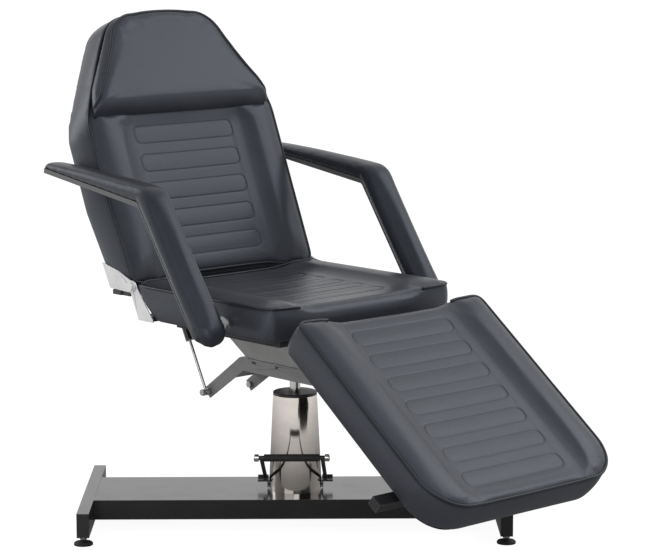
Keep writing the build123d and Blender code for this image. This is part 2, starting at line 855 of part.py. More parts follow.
with BuildPart() as back_cushion:
    loft(sections=[back_section(-share * back_thickness, draw, draw) for share, draw in side_levels])
    loft(sections=[back_section(up, draw, draw) for up, draw in crown_levels])
    loft(sections=[dish_profile(back_plane, -overrun, 0), dish_profile(back_plane, back_dish_end, 0)],
         ruled=True, mode=Mode.SUBTRACT)
    loft(sections=[dish_profile(back_plane, back_dish_end, 0),
                   dish_profile(back_plane, head_start, -dish_floor)], ruled=True, mode=Mode.SUBTRACT)
    with BuildSketch(back_plane):
        with Locations((0, head_start - head_edge_inset + back_length / 2)):
            Rectangle(cushion_width, back_length)
    extrude(amount=2 * crown_height, mode=Mode.SUBTRACT)
    add(channel_grooves(back_plane, back_channel_places), mode=Mode.SUBTRACT)
finish(back_cushion, "back_cushion")


# Head cushion on the upper end of the backrest
def head_section(plane, inset, start):
    with BuildSketch(plane) as section:
        with BuildLine():
            Polyline((0, start), (head_half_width - inset, start),
                     (shoulder_half_width - inset, shoulder_height),
                     (neck_half_width - inset, neck_height - inset / 2))
            crest_lines(neck_half_width - inset, neck_height - inset / 2, crest_half_width - inset,
                        back_length - inset)
            mirror(about=Plane.YZ)
        make_face()
    return section.sketch


head_top_plane = Plane(
    origin=back_plane.origin + back_plane.z_dir * (head_thickness + head_crest * tan(radians(head_tilt))),
    x_dir=back_plane.x_dir,
    z_dir=back_plane.z_dir * cos(radians(head_tilt)) + back_plane.y_dir * sin(radians(head_tilt)))

with BuildPart() as head_cushion:
    loft(sections=[head_section(back_plane.offset(seat_gap), head_foot_inset, head_start),
                   head_section(back_plane.offset(head_edge_thickness), head_edge_inset,
                                head_start + head_foot_inset),
                   head_section(head_top_plane, head_side_inset, head_crest - head_roll)])
finish(head_cushion, "head_cushion")

# Backrest board, and the frame behind it
with BuildPart() as back_board:
    extrude(back_section(-back_board_depth, back_board_inset, back_board_start), amount=-back_board_thickness)
finish(back_board, "back_board")

with BuildPart() as back_rails:
    for side in (-1, 1):
        with BuildSketch(back_plane.offset(-back_rail_depth)):
            with Locations((side * rail_offset, rail_top / 2)):
                Rectangle(rail_width, rail_top)
        extrude(amount=-rail_depth)
        with BuildSketch(back_plane.offset(-back_rail_depth - tube_wall)):
            with Locations((side * rail_offset, rail_top / 2)):
                Rectangle(rail_width - 2 * tube_wall, rail_top + 2 * overrun)
        extrude(amount=2 * tube_wall - rail_depth, mode=Mode.SUBTRACT)
    split(bisect_by=Plane(origin=(0, 0, crossbar_top), z_dir=(0, 0, 1)), keep=Keep.TOP)
finish(back_rails, "back_rails")

plate_inner = half_cushion + plate_gap - thin_gap
seat_plate_inner = half_cushion - plate_thickness - thin_gap

with BuildPart() as back_crossbar:
    with BuildSketch(Plane(origin=(column_x, 0, crossbar_top))):
        with Locations((-(crossbar_notch_rear + crossbar_side_rear) / 2, 0)):
            Rectangle(crossbar_side_rear - crossbar_notch_rear, 2 * plate_inner)
        with Locations((-(crossbar_front + crossbar_side_rear) / 2, 0)):
            Rectangle(crossbar_side_rear - crossbar_front, 2 * (seat_plate_inner - plate_gap))
        for side in (-1, 1):
            with Locations((-(crossbar_front + crossbar_rail_rear) / 2, side * rail_offset)):
                Rectangle(crossbar_rail_rear - crossbar_front, rail_width + 2 * overrun)
    extrude(amount=-crossbar_thickness)
    extrude(side_outline(-lug_y, [(-place, height) for place, height in back_lug_points]),
            amount=-lug_thickness)
finish(back_crossbar, "back_crossbar")


# Hinge of the backrest: outer plates on the backrest, inner plates on the seat
def hinge_plate(y, points):
    """A plate rounded about the hinge line, with a bore for the bolt."""
    with BuildSketch(side_plane(y)) as plate:
        with BuildLine():
            Polyline(*[(-back, -height) for back, height in points], close=True)
        make_face()
        with Locations((-hinge_back, -hinge_height)):
            Circle(hinge_radius)
            Circle(hinge_bolt_radius + running_gap, mode=Mode.SUBTRACT)
    return plate.sketch


with BuildPart() as back_hinge_plates:
    for side in (-1, 1):
        extrude(hinge_plate(side * plate_inner, back_plate_points), amount=side * plate_thickness)
finish(back_hinge_plates, "back_hinge_plates")

with BuildPart() as seat_hinge_plates:
    for side in (-1, 1):
        extrude(hinge_plate(side * seat_plate_inner, seat_plate_points), amount=side * plate_thickness)
finish(seat_hinge_plates, "seat_hinge_plates")

with BuildPart() as hinge_bolts:
    for side in (-1, 1):
        head_place = side * (plate_inner + plate_thickness + plate_gap)
        with BuildSketch(side_plane(head_place)):
            with Locations((-hinge_back, -hinge_height)):
                Circle(hinge_head_radius)
        extrude(amount=side * hinge_head_height)
        with BuildSketch(side_plane(head_place)):
            with Locations((-hinge_back, -hinge_height)):
                Circle(hinge_bolt_radius)
        extrude(amount=-side * (2 * plate_thickness + 2 * plate_gap + hinge_head_height))
        with BuildSketch(side_plane(side * seat_plate_inner)):
            with Locations((-hinge_back, -hinge_height)):
                RegularPolygon(hinge_head_radius, nut_sides)
        extrude(amount=-side * hinge_head_height)
finish(hinge_bolts, "hinge_bolts")

with BuildPart() as seat_rear_bar:
    with BuildSketch(Plane(origin=(column_x, 0, board_top))):
        with Locations((-(board_tail + rear_bar_front) / 2, 0)):
            Rectangle(board_tail - rear_bar_front, 2 * seat_plate_inner)
    extrude(amount=rear_bar_thickness)
finish(seat_rear_bar, "seat_rear_bar")


# Gas springs: a rod with an eye, and a tube with an eye at its other end
def eye_sketch(y, pivot):
    with BuildSketch(side_plane(y)) as eye:
        with Locations((pivot.X - column_x, -pivot.Z)):
            Circle(eye_radius)
    return eye.sketch


def round_sketch(plane, radius):
    with BuildSketch(plane) as round_face:
        Circle(radius)
    return round_face.sketch


def spring_rod(axis, middle_y, rod_length):
    """The rod with its head, and the eye at its foot. The axis starts at the eye."""
    with BuildPart() as rod:
        extrude(round_sketch(axis.offset(eye_radius - running_gap), spring_rod_radius),
                amount=rod_length - eye_radius + running_gap)
        extrude(round_sketch(axis.offset(rod_length - piston_height), spring_bore - running_gap),
                amount=piston_height)
        extrude(eye_sketch(middle_y - eye_half_width, axis.origin), amount=2 * eye_half_width)
        extrude(round_sketch(Plane(origin=(axis.origin.X, middle_y - 2 * eye_radius, axis.origin.Z),
                                   z_dir=(0, 1, 0)), tail_pin_radius + running_gap),
                amount=2 * (eye_radius + eye_radius), mode=Mode.SUBTRACT)
    return rod.part


def spring_tube(axis, middle_y, tube_start, tube_length, spring_length, pin_end):
    """The tube round the rod, and the eye with its pin at the spring's upper end."""
    head = axis.origin + axis.z_dir * spring_length
    with BuildPart() as tube:
        extrude(round_sketch(axis.offset(tube_start), spring_radius), amount=tube_length)
        extrude(round_sketch(axis.offset(tube_start + spring_guide), spring_bore),
                amount=tube_length - spring_guide - tube_end_wall, mode=Mode.SUBTRACT)
        extrude(round_sketch(axis.offset(tube_start - overrun), spring_rod_radius + running_gap),
                amount=spring_guide + 2 * overrun, mode=Mode.SUBTRACT)
        extrude(round_sketch(axis.offset(tube_start + tube_length), tail_pin_radius),
                amount=spring_length - tube_start - tube_length)
        extrude(eye_sketch(middle_y - eye_half_width, head), amount=2 * eye_half_width)
        extrude(round_sketch(Plane(origin=(head.X, middle_y, head.Z), z_dir=(0, 1, 0)), tail_pin_radius),
                amount=pin_end - middle_y)
    return tube.part


back_spring_axis = Plane(origin=(column_x - tail_pin_back, -spring_y, tail_pin_height), x_dir=(0, 1, 0),
                         z_dir=(tail_pin_back - lug_pin_back, 0, lug_pin_height - tail_pin_height))
back_spring_length = hypot(lug_pin_back - tail_pin_back, lug_pin_height - tail_pin_height)

with BuildPart() as back_spring_rod:
    add(spring_rod(back_spring_axis, -spring_y, spring_rod_length))
finish(back_spring_rod, "back_spring_rod")

with BuildPart() as back_spring_tube:
    add(spring_tube(back_spring_axis, -spring_y, spring_tube_start, spring_tube_length,
                    back_spring_length, 2 * seat_gap - lug_y))
finish(back_spring_tube, "back_spring_tube")

leg_lug_pin = leg_plane.origin + leg_plane.y_dir * leg_lug_place - leg_plane.z_dir * leg_lug_depth
leg_spring_foot = Vector(column_x + leg_spring_pin_forward, 0, leg_spring_pin_height)
leg_spring_axis = Plane(origin=leg_spring_foot, x_dir=(0, 1, 0), z_dir=leg_lug_pin - leg_spring_foot)
leg_spring_length = (leg_lug_pin - leg_spring_foot).length

with BuildPart() as leg_spring_rod:
    add(spring_rod(leg_spring_axis, 0, leg_rod_length))
finish(leg_spring_rod, "leg_spring_rod")

with BuildPart() as leg_spring_tube:
    add(spring_tube(leg_spring_axis, 0, leg_tube_start, leg_tube_length, leg_spring_length,
                    leg_lug_inner - 2 * seat_gap))
finish(leg_spring_tube, "leg_spring_tube")

# Leg rest: board, rails, handle bar and the lug of its gas spring
leg_pivot = Vector(column_x + leg_pivot_forward, 0, leg_pivot_height)

with BuildPart() as leg_board:
    with BuildSketch(leg_plane.offset(-leg_board_depth)) as leg_board_outline:
        with Locations((0, (leg_board_start + leg_board_end) / 2)):
            Rectangle(2 * leg_board_half_width, leg_board_end - leg_board_start)
        fillet(leg_board_outline.vertices().group_by(Axis.Y)[-1], foot_corner_radius - leg_board_start)
    extrude(amount=-board_thickness)
finish(leg_board, "leg_board")

rail_end = handle_place - handle_width / 2

with BuildPart() as leg_rails:
    for side in (-1, 1):
        rail_middle = side * (leg_rail_inner + leg_rail_width / 2)
        with BuildSketch(leg_plane.offset(-leg_rail_depth)):
            with Locations((rail_middle, (rail_end - leg_rail_nose) / 2)):
                Rectangle(leg_rail_width, rail_end + leg_rail_nose)
        extrude(amount=-leg_rail_height)
        with BuildSketch(leg_plane.offset(-leg_rail_depth - tube_wall)):
            with Locations((rail_middle, (rail_end - leg_rail_nose - overrun) / 2)):
                Rectangle(leg_rail_width - 2 * tube_wall, rail_end + leg_rail_nose + overrun)
        extrude(amount=2 * tube_wall - leg_rail_height, mode=Mode.SUBTRACT)
    extrude(round_sketch(Plane(origin=(leg_pivot.X, -half_cushion, leg_pivot.Z), z_dir=(0, 1, 0)),
                         leg_pin_radius + running_gap), amount=2 * half_cushion, mode=Mode.SUBTRACT)
finish(leg_rails, "leg_rails")

with BuildPart() as leg_handle:
    with BuildSketch(leg_plane.offset(-leg_rail_depth)):
        with Locations((0, handle_place)):
            Rectangle(2 * handle_half_length, handle_width)
    extrude(amount=-handle_height)
    with BuildSketch(leg_plane.offset(-leg_rail_depth - tube_wall)):
        with Locations((0, handle_place)):
            Rectangle(2 * (handle_half_length + overrun), handle_width - 2 * tube_wall)
    extrude(amount=2 * tube_wall - handle_height, mode=Mode.SUBTRACT)
finish(leg_handle, "leg_handle")

with BuildPart() as leg_handle_plugs:
    for side in (-1, 1):
        with BuildSketch(leg_plane.offset(-leg_rail_depth - tube_wall)):
            with Locations((side * (handle_half_length - plug_depth / 2), handle_place)):
                Rectangle(plug_depth, handle_width - 2 * tube_wall)
        extrude(amount=2 * tube_wall - handle_height)
finish(leg_handle_plugs, "leg_handle_plugs")

with BuildPart() as leg_spring_lug:
    with BuildSketch(leg_plane.offset(-leg_rail_depth)):
        with Locations((-leg_lug_inner - lug_base_width / 2, leg_lug_place)):
            Rectangle(lug_base_width, 2 * lug_half_length)
    extrude(amount=-lug_thickness)
    with BuildSketch(leg_plane.offset(-leg_rail_depth)):
        with Locations((-leg_lug_inner - lug_thickness / 2, leg_lug_place)):
            Rectangle(lug_thickness, 2 * lug_half_length)
    extrude(amount=leg_rail_depth - leg_lug_depth - lug_half_length)
finish(leg_spring_lug, "leg_spring_lug")

# Hinge of the leg rest: ears under the seat board, and their pins
ear_inner = leg_rail_inner - plate_gap - ear_thickness

with BuildPart() as leg_ears:
    for side in (-1, 1):
        with BuildSketch(side_plane(side * ear_inner)):
            with BuildLine():
                Polyline((ear_rear, -board_bottom), (board_front, -board_bottom),
                         (leg_pivot_forward, -leg_pivot_height - ear_radius),
                         (leg_pivot_forward, ear_radius - leg_pivot_height),
                         (board_front - ear_radius, ear_radius / 2 - leg_pivot_height),
                         (ear_rear, -leg_pivot_height), close=True)
            make_face()
            with Locations((leg_pivot_forward, -leg_pivot_height)):
                Circle(ear_radius)
                Circle(leg_pin_radius + running_gap, mode=Mode.SUBTRACT)
        extrude(amount=side * ear_thickness)
finish(leg_ears, "leg_ears")

with BuildPart() as leg_hinge_pins:
    for side in (-1, 1):
        pin_start = side * (ear_inner - plate_gap)
        pin_end = side * (leg_rail_inner + leg_rail_width + plate_gap)
        extrude(round_sketch(Plane(origin=(leg_pivot.X, pin_start, leg_pivot.Z), z_dir=(0, side, 0)),
                             leg_pin_radius), amount=abs(pin_end - pin_start))
        extrude(round_sketch(Plane(origin=(leg_pivot.X, pin_start, leg_pivot.Z), z_dir=(0, -side, 0)),
                             hinge_head_radius), amount=plate_thickness)
        extrude(round_sketch(Plane(origin=(leg_pivot.X, pin_end, leg_pivot.Z), z_dir=(0, side, 0)),
                             hinge_head_radius), amount=plate_thickness)
finish(leg_hinge_pins, "leg_hinge_pins")

# Armrests. Their underside runs from the tip to the crook, then down the post.
under_run = Vector(arm_rear - crook_back, crook_height - arm_rear_bottom)
under_length = under_run.length
under_run = under_run.normalized()
under_up = Vector(-under_run.Y, under_run.X)
post_run = Vector(crook_back + post_rear_end, post_rear_end_height - crook_height)
post_length = post_run.length
post_run = post_run.normalized()
post_up = Vector(-post_run.Y, post_run.X)
crook = Vector(-crook_back, crook_height)


def under_point(back, up):
    """A point this far back from the crook along the underside, and this far up from it."""
    place = crook - under_run * back + under_up * up
    return (place.X, -place.Y)


def post_point(down, ahead):
    """A point this far down the post from the crook, and this far ahead of its rear line."""
    place = crook + post_run * down + post_up * ahead
    return (place.X, -place.Y)


def crook_point(up, ahead):
    """The corner between two lines set off from the underside and from the post's rear line."""
    cross = under_up.X * post_up.Y - under_up.Y * post_up.X
    place = crook + Vector((up * post_up.Y - under_up.Y * ahead) / cross,
                           (under_up.X * ahead - post_up.X * up) / cross)
    return (place.X, -place.Y)


def near_corner(sketch, point):
    """The sketch's corner that lies nearest to this point."""
    return sketch.vertices().sort_by_distance((point[0], point[1], 0))[0]


core_top = arm_board_thickness + arm_core_thickness
core_ahead = arm_post_board + arm_core_thickness
pivot_down = (Vector(arm_pivot_forward, arm_pivot_height) - crook).dot(post_run)


def core_sketch(y, gap):
    """The steel core's side, grown by gap."""
    with BuildSketch(side_plane(y)) as core:
        with BuildLine():
            Polyline(under_point(core_reach + gap, arm_board_thickness - gap),
                     crook_point(arm_board_thickness - gap, arm_post_board - gap),
                     post_point(pivot_down, arm_post_board - gap),
                     post_point(pivot_down, core_ahead + gap),
                     crook_point(core_top + gap, core_ahead + gap),
                     under_point(core_reach + gap, core_top + gap), close=True)
        make_face()
        with Locations((arm_pivot_forward, -arm_pivot_height)):
            Circle(arm_boss_radius + gap)
    return core.sketch


def pad_sketch(y, inset):
    """The pad's side, drawn in by inset at its upper, front and lower ends."""
    with BuildSketch(side_plane(y)) as pad:
        tip = (inset - arm_rear, inset - arm_rear_top)
        elbow = (-elbow_back - inset, inset - elbow_height)
        foot_front = (post_front_end - inset, -post_front_end_height)
        foot_rear = post_point(post_length, arm_post_board + seat_gap)
        tip_foot = (inset - arm_rear, under_point(under_length, arm_board_thickness + seat_gap)[1])
        with BuildLine():
            Polyline(foot_rear, crook_point(arm_board_thickness + seat_gap, arm_post_board + seat_gap),
                     tip_foot, tip, elbow, foot_front)
            ThreePointArc(foot_front, (post_tip, inset - post_tip_height), foot_rear)
        make_face()
        fillet(near_corner(pad, elbow), elbow_radius - inset)
        fillet(near_corner(pad, tip), arm_tip_radius)
    return pad.sketch


arm_width = arm_outer - arm_inner
arm_middle = (arm_outer + arm_inner) / 2

for side, hand in ((-1, "right"), (1, "left")):
    with BuildPart() as arm_core:
        extrude(core_sketch(side * (arm_middle - arm_core_width / 2), 0), amount=side * arm_core_width)
        with BuildSketch(side_plane(side * (half_cushion - arm_stud_depth))):
            with Locations((arm_pivot_forward, -arm_pivot_height)):
                Circle(arm_stud_radius)
        extrude(amount=side * (arm_middle - half_cushion + arm_stud_depth))
        knob_foot = under_point(knob_reach, arm_board_thickness)
        with BuildSketch(Plane(origin=(column_x + knob_foot[0], side * arm_middle, -knob_foot[1]))):
            Circle(knob_radius)
        extrude(amount=-arm_board_thickness - knob_length)
    finish(arm_core, "arm_core_" + hand)

    with BuildPart() as arm_board:
        with BuildSketch(side_plane(side * (arm_inner + arm_board_inset))) as board_side:
            board_end = under_length - arm_board_inset
            with BuildLine():
                Polyline(under_point(board_end, 0), under_point(board_end, arm_board_thickness),
                         crook_point(arm_board_thickness, arm_post_board),
                         post_point(post_length - arm_board_inset, arm_post_board),
                         post_point(post_length - arm_board_inset, 0), crook_point(0, 0), close=True)
            make_face()
            fillet(near_corner(board_side, crook_point(0, 0)), crook_radius)
        extrude(amount=side * (arm_width - 2 * arm_board_inset))
        with BuildSketch(Plane(origin=(column_x + knob_foot[0], side * arm_middle, -knob_foot[1] + overrun))):
            Circle(knob_radius + running_gap)
        extrude(amount=-2 * arm_board_thickness - knob_length, mode=Mode.SUBTRACT)
    finish(arm_board, "arm_board_" + hand)

    with BuildPart() as arm_pad:
        loft(sections=[pad_sketch(side * (arm_inner + share * arm_width), inset)
                       for share, inset in arm_levels])
        extrude(core_sketch(side * (arm_middle - arm_core_width / 2 - seat_gap), seat_gap),
                amount=side * (arm_core_width + 2 * seat_gap), mode=Mode.SUBTRACT)
        with BuildSketch(side_plane(side * half_cushion)):
            with Locations((arm_pivot_forward, -arm_pivot_height)):
                Circle(arm_stud_radius + seat_gap)
        extrude(amount=side * (arm_middle - half_cushion), mode=Mode.SUBTRACT)
    finish(arm_pad, "arm_pad_" + hand)

# Pivots of the armrests: a bracket on the seat board, a bush and a spacer
with BuildPart() as arm_pivots:
    for side in (-1, 1):
        stud_end = half_cushion - arm_stud_depth
        with BuildSketch(side_plane(side * (stud_end - arm_bracket_thickness))):
            with Locations((arm_pivot_forward, -(arm_pivot_height + arm_bracket_half_width + board_top) / 2)):
                Rectangle(2 * arm_bracket_half_width, arm_pivot_height + arm_bracket_half_width - board_top)
        extrude(amount=side * arm_bracket_thickness)
        with BuildSketch(side_plane(side * (stud_end - arm_bracket_thickness))):
            with Locations((arm_pivot_forward, -arm_pivot_height)):
                Circle(bush_outer_radius)
        extrude(amount=side * (arm_inner - seat_gap - stud_end + arm_bracket_thickness))
        with BuildSketch(side_plane(side * (half_cushion + spacer_start))):
            with Locations((arm_pivot_forward, -arm_pivot_height)):
                Circle(spacer_radius)
        extrude(amount=side * (arm_inner - seat_gap - half_cushion - spacer_start))
        with BuildSketch(side_plane(side * (stud_end - 2 * seat_gap))):
            with Locations((arm_pivot_forward, -arm_pivot_height)):
                Circle(arm_stud_radius + running_gap)
        extrude(amount=side * 2 * arm_stud_depth, mode=Mode.SUBTRACT)
finish(arm_pivots, "arm_pivots")

# Release lever of the backrest, hinged in a clevis under the seat board
clevis_outer = lever_half_width + plate_gap + clevis_wall

with BuildPart() as lever_clevis:
    for side in (-1, 1):
        with BuildSketch(Plane(origin=(column_x - lever_back, 0, board_bottom))):
            with Locations((side * (lever_half_width + plate_gap + clevis_wall / 2), lever_pin_y)):
                Rectangle(clevis_wall, 2 * clevis_half_depth)
        extrude(amount=lever_pin_height - clevis_half_depth - board_bottom)
    extrude(round_sketch(Plane(origin=(column_x - lever_back - clevis_outer, lever_pin_y, lever_pin_height),
                               z_dir=(1, 0, 0)), lever_pin_radius), amount=2 * clevis_outer)
finish(lever_clevis, "lever_clevis")

with BuildPart() as release_lever:
    extrude(round_sketch(Plane(origin=(column_x - lever_back - lever_half_width, lever_pin_y,
                                       lever_pin_height), z_dir=(1, 0, 0)), lever_hub_radius),
            amount=2 * lever_half_width)
    with BuildSketch(Plane(origin=(column_x - lever_back, 0, lever_pin_height - lever_thickness / 2))):
        with Locations((0, (lever_pin_y + lever_end_y) / 2)):
            Rectangle(2 * lever_half_width, lever_end_y - lever_pin_y)
    extrude(amount=lever_thickness)
    fillet(release_lever.edges().filter_by(Axis.Z).group_by(Axis.Y)[-1], lever_half_width / 2)
    extrude(round_sketch(Plane(origin=(column_x - lever_back - lever_half_width, lever_pin_y,
                                       lever_pin_height), z_dir=(1, 0, 0)), lever_pin_radius + running_gap),
            amount=2 * lever_half_width, mode=Mode.SUBTRACT)
finish(release_lever, "release_lever")
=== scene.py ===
# %% [markdown]
# A reclining tattoo chair, dressed in Blender
#
# The solids of this chair come from a CAD model and arrive here as a frame
# that never moves. Everything soft is made again as upholstery, and everything
# hard gets a real finish. Units are metres, Z is up, and the chair looks along +X.

# %% Load the frame
import json
import math

import bmesh
import bpy
from mathutils import Matrix, Quaternion, Vector
from mathutils.bvhtree import BVHTree
from mathutils.kdtree import KDTree


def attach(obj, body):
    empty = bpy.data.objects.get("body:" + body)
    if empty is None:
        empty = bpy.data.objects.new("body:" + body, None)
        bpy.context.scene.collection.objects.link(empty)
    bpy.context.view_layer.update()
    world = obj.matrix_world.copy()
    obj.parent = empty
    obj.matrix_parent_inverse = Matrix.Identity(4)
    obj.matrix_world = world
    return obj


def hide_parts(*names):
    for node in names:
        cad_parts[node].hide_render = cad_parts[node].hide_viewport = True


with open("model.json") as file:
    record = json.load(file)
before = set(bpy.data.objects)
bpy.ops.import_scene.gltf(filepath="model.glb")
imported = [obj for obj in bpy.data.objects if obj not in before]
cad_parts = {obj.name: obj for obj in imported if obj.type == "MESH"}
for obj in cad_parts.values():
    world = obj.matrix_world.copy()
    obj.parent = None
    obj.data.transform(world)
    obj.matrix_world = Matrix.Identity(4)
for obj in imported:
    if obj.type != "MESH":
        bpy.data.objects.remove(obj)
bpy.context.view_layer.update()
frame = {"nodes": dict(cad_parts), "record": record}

scene = bpy.context.scene

# %% [markdown]
# The camera
#
# The photograph was taken with a long lens from the sitter's right and slightly
# above the seat. A long lens keeps the base and the headrest in proportion, so
# the camera stands over five metres away. The view is given as a place, a
# direction and a small roll, which is easier to check than three angles.

# %% Camera
COLUMN_X = -0.0965324
CAMERA_PLACE = Vector((4.4145, -3.9855, 1.5523))
CAMERA_LOOK = Vector((-0.7323, 0.6635, -0.1533))
CAMERA_ROLL = math.radians(-0.12)
SENSOR = 36
FOCAL_PIXELS = 2459.73
PICTURE_WIDTH = 650

camera = bpy.data.objects.new("camera", bpy.data.cameras.new("camera"))
scene.collection.objects.link(camera)
camera.data.sensor_width = SENSOR
camera.data.lens = FOCAL_PIXELS / PICTURE_WIDTH * SENSOR
camera.location = CAMERA_PLACE
camera.rotation_mode = "QUATERNION"
camera.rotation_quaternion = (CAMERA_LOOK.to_track_quat("-Z", "Y")
                              @ Quaternion((0, 0, 1), CAMERA_ROLL))
scene.camera = camera
scene.view_settings.view_transform = "Standard"
print("lens", round(camera.data.lens, 1), "mm")

# %% [markdown]
# Small tools for shader nodes
#
# A material is a little network. These helpers keep the cells short: one adds a
# node and fills its sockets by name, and another starts a node group with named
# inputs and outputs. A group is built once and placed in many materials.

# %% Shader helpers
def feed(tree, place, value):
    """Links a socket to another one, or gives it a plain value."""
    if isinstance(value, bpy.types.NodeSocket):
        tree.links.new(value, place)
    else:
        place.default_value = value


def put(tree, kind, settings=None, **sockets):
    """Adds a node. Its sockets go by their labels, or by their numbers as i0, i1 and so on."""
    made = tree.nodes.new("ShaderNode" + kind)
    for key, value in (settings or {}).items():
        setattr(made, key, value)
    for key, value in sockets.items():
        label = int(key[1:]) if key[1:].isdigit() else key.replace("_", " ")
        feed(tree, made.inputs[label], value)
    return made


def math_node(tree, operation, first, second=0.0, clamp=False):
    return put(tree, "Math", {"operation": operation, "use_clamp": clamp},
               i0=first, i1=second).outputs[0]


def remap(tree, value, low, high, to_low, to_high):
    return put(tree, "MapRange", Value=value, From_Min=low, From_Max=high,
               To_Min=to_low, To_Max=to_high).outputs[0]


def tint(tree, factor, first, second, blend="MIX"):
    """Mixes two colours. A Mix node keeps its colours in sockets 6 and 7."""
    return put(tree, "Mix", {"data_type": "RGBA", "blend_type": blend},
               i0=factor, i6=first, i7=second).outputs[2]


def pick(tree, factor, first, second):
    """Mixes two numbers, which a Mix node keeps in sockets 2 and 3."""
    return put(tree, "Mix", {"data_type": "FLOAT"}, i0=factor, i2=first, i3=second).outputs[0]


def grey(tree, level):
    return put(tree, "CombineColor", i0=level, i1=level, i2=level).outputs[0]


def dot(tree, first, second):
    return put(tree, "VectorMath", {"operation": "DOT_PRODUCT"},
               i0=first, i1=second).outputs["Value"]


def object_point(tree):
    return put(tree, "TexCoord").outputs["Object"]


def start_group(name, inputs, outputs):
    group = bpy.data.node_groups.new(name, "ShaderNodeTree")
    for side, rows in (("INPUT", inputs), ("OUTPUT", outputs)):
        for label, kind, value in rows:
            socket = group.interface.new_socket(
                label, in_out=side, socket_type="NodeSocket" + kind)
            if value is not None:
                socket.default_value = value
    entry = group.nodes.new("NodeGroupInput")
    return group, entry.outputs, group.nodes.new("NodeGroupOutput").inputs


def place_group(tree, group, **sockets):
    made = tree.nodes.new("ShaderNodeGroup")
    made.node_tree = group
    for key, value in sockets.items():
        feed(tree, made.inputs[key], value)
    return made.outputs


GREY = (0.5, 0.5, 0.5, 1)
WHITE = (1, 1, 1, 1)
NOISE_LOW, NOISE_HIGH = 0.3, 0.7
print("shader helpers ready")

# %% [markdown]
# Grain of the covers
#
# The covers are a coated cloth with a printed leather grain. Its pebbles are
# about a millimetre and a half wide, soft creases cross them a few millimetres
# apart, and the colour drifts slowly over a panel. Shade falls into a seam, so a
# mask kept on the points near each seam paints that shade into the colour there.

# %% Leather grain group
PEBBLES = 620.0
DRIFT_SCALE, CREASE_SCALE = 7.0, 240.0
DARKEST_SEAM_SHADE = 0.6

leather_grain, entry, leave = start_group(
    "leather_grain",
    [("Colour", "Color", GREY), ("Pebbles", "Float", PEBBLES), ("Seam", "Float", 0.0)],
    [("Colour", "Color", None), ("Roughness", "Float", None), ("Height", "Float", None)])
point = object_point(leather_grain)
drift = put(leather_grain, "TexNoise", Vector=point, Scale=DRIFT_SCALE, Detail=4.0,
            Roughness=0.55).outputs[0]
crease = put(leather_grain, "TexNoise", Vector=point, Scale=CREASE_SCALE, Detail=3.0,
             Roughness=0.6).outputs[0]
pebble = put(leather_grain, "TexVoronoi", {"feature": "SMOOTH_F1"}, Vector=point,
             Scale=entry["Pebbles"], Smoothness=0.35).outputs["Distance"]
shade = remap(leather_grain, drift, NOISE_LOW, NOISE_HIGH, 0.86, 1.14)
# Painted shade: the colour darkens near seams and cords.
seam_shade = remap(leather_grain, entry["Seam"], 0.0, 1.0, 1.0, DARKEST_SEAM_SHADE)
shade = math_node(leather_grain, "MULTIPLY", shade, seam_shade)
valley = remap(leather_grain, pebble, 0.1, 0.75, 1.06, 0.82)
shade = math_node(leather_grain, "MULTIPLY", shade, valley)
colour = tint(leather_grain, 1.0, entry["Colour"], grey(leather_grain, shade), "MULTIPLY")
leather_grain.links.new(colour, leave["Colour"])
rough = math_node(leather_grain, "ADD",
                  remap(leather_grain, drift, NOISE_LOW, NOISE_HIGH, 0.31, 0.38),
                  remap(leather_grain, crease, NOISE_LOW, NOISE_HIGH, -0.03, 0.05))
leather_grain.links.new(rough, leave["Roughness"])
grain = math_node(leather_grain, "ADD", math_node(leather_grain, "MULTIPLY", pebble, -0.7),
                  math_node(leather_grain, "MULTIPLY", crease, 0.45))
leather_grain.links.new(grain, leave["Height"])
print("group", leather_grain.name)

# %% [markdown]
# Powder coat, worn and highlighted edges, and brushing
#
# Sprayed powder melts into a skin with a faint orange-peel texture. On corners
# it is thinner and gets rubbed, which a Bevel node can find: it rounds the
# normal near an edge, and the difference from the true normal is the mask. The
# mask lightens the corners, partly as rubbed wear and partly as a painted
# highlight on the edges.
# Turned and rolled metal has fine lines in one direction, made from a noise
# squeezed along one axis.

# %% Finish groups
PEEL = 420.0
HAZE_SCALE, RUB_SCALE, SMUDGE_SCALE = 14.0, 45.0, 18.0
EDGE_MASK_RADIUS, EDGE_MASK_SAMPLES = 0.0025, 4
FLAT_FACING, CORNER_FACING = 0.97, 0.8
BRUSH_STRETCH = (30, 30, 900)

powder_coat, entry, leave = start_group(
    "powder_coat",
    [("Colour", "Color", GREY), ("Peel", "Float", PEEL), ("Base roughness", "Float", 0.4)],
    [("Colour", "Color", None), ("Roughness", "Float", None), ("Height", "Float", None)])
point = object_point(powder_coat)
peel = put(powder_coat, "TexNoise", Vector=point, Scale=entry["Peel"], Detail=2.0).outputs[0]
haze = put(powder_coat, "TexNoise", Vector=point, Scale=HAZE_SCALE, Detail=4.0).outputs[0]
shade = grey(powder_coat, remap(powder_coat, haze, NOISE_LOW, NOISE_HIGH, 0.9, 1.12))
colour = tint(powder_coat, 1.0, entry["Colour"], shade, "MULTIPLY")
powder_coat.links.new(colour, leave["Colour"])
rough = math_node(powder_coat, "ADD", entry["Base roughness"],
                  remap(powder_coat, haze, NOISE_LOW, NOISE_HIGH, -0.05, 0.07))
powder_coat.links.new(rough, leave["Roughness"])
powder_coat.links.new(peel, leave["Height"])
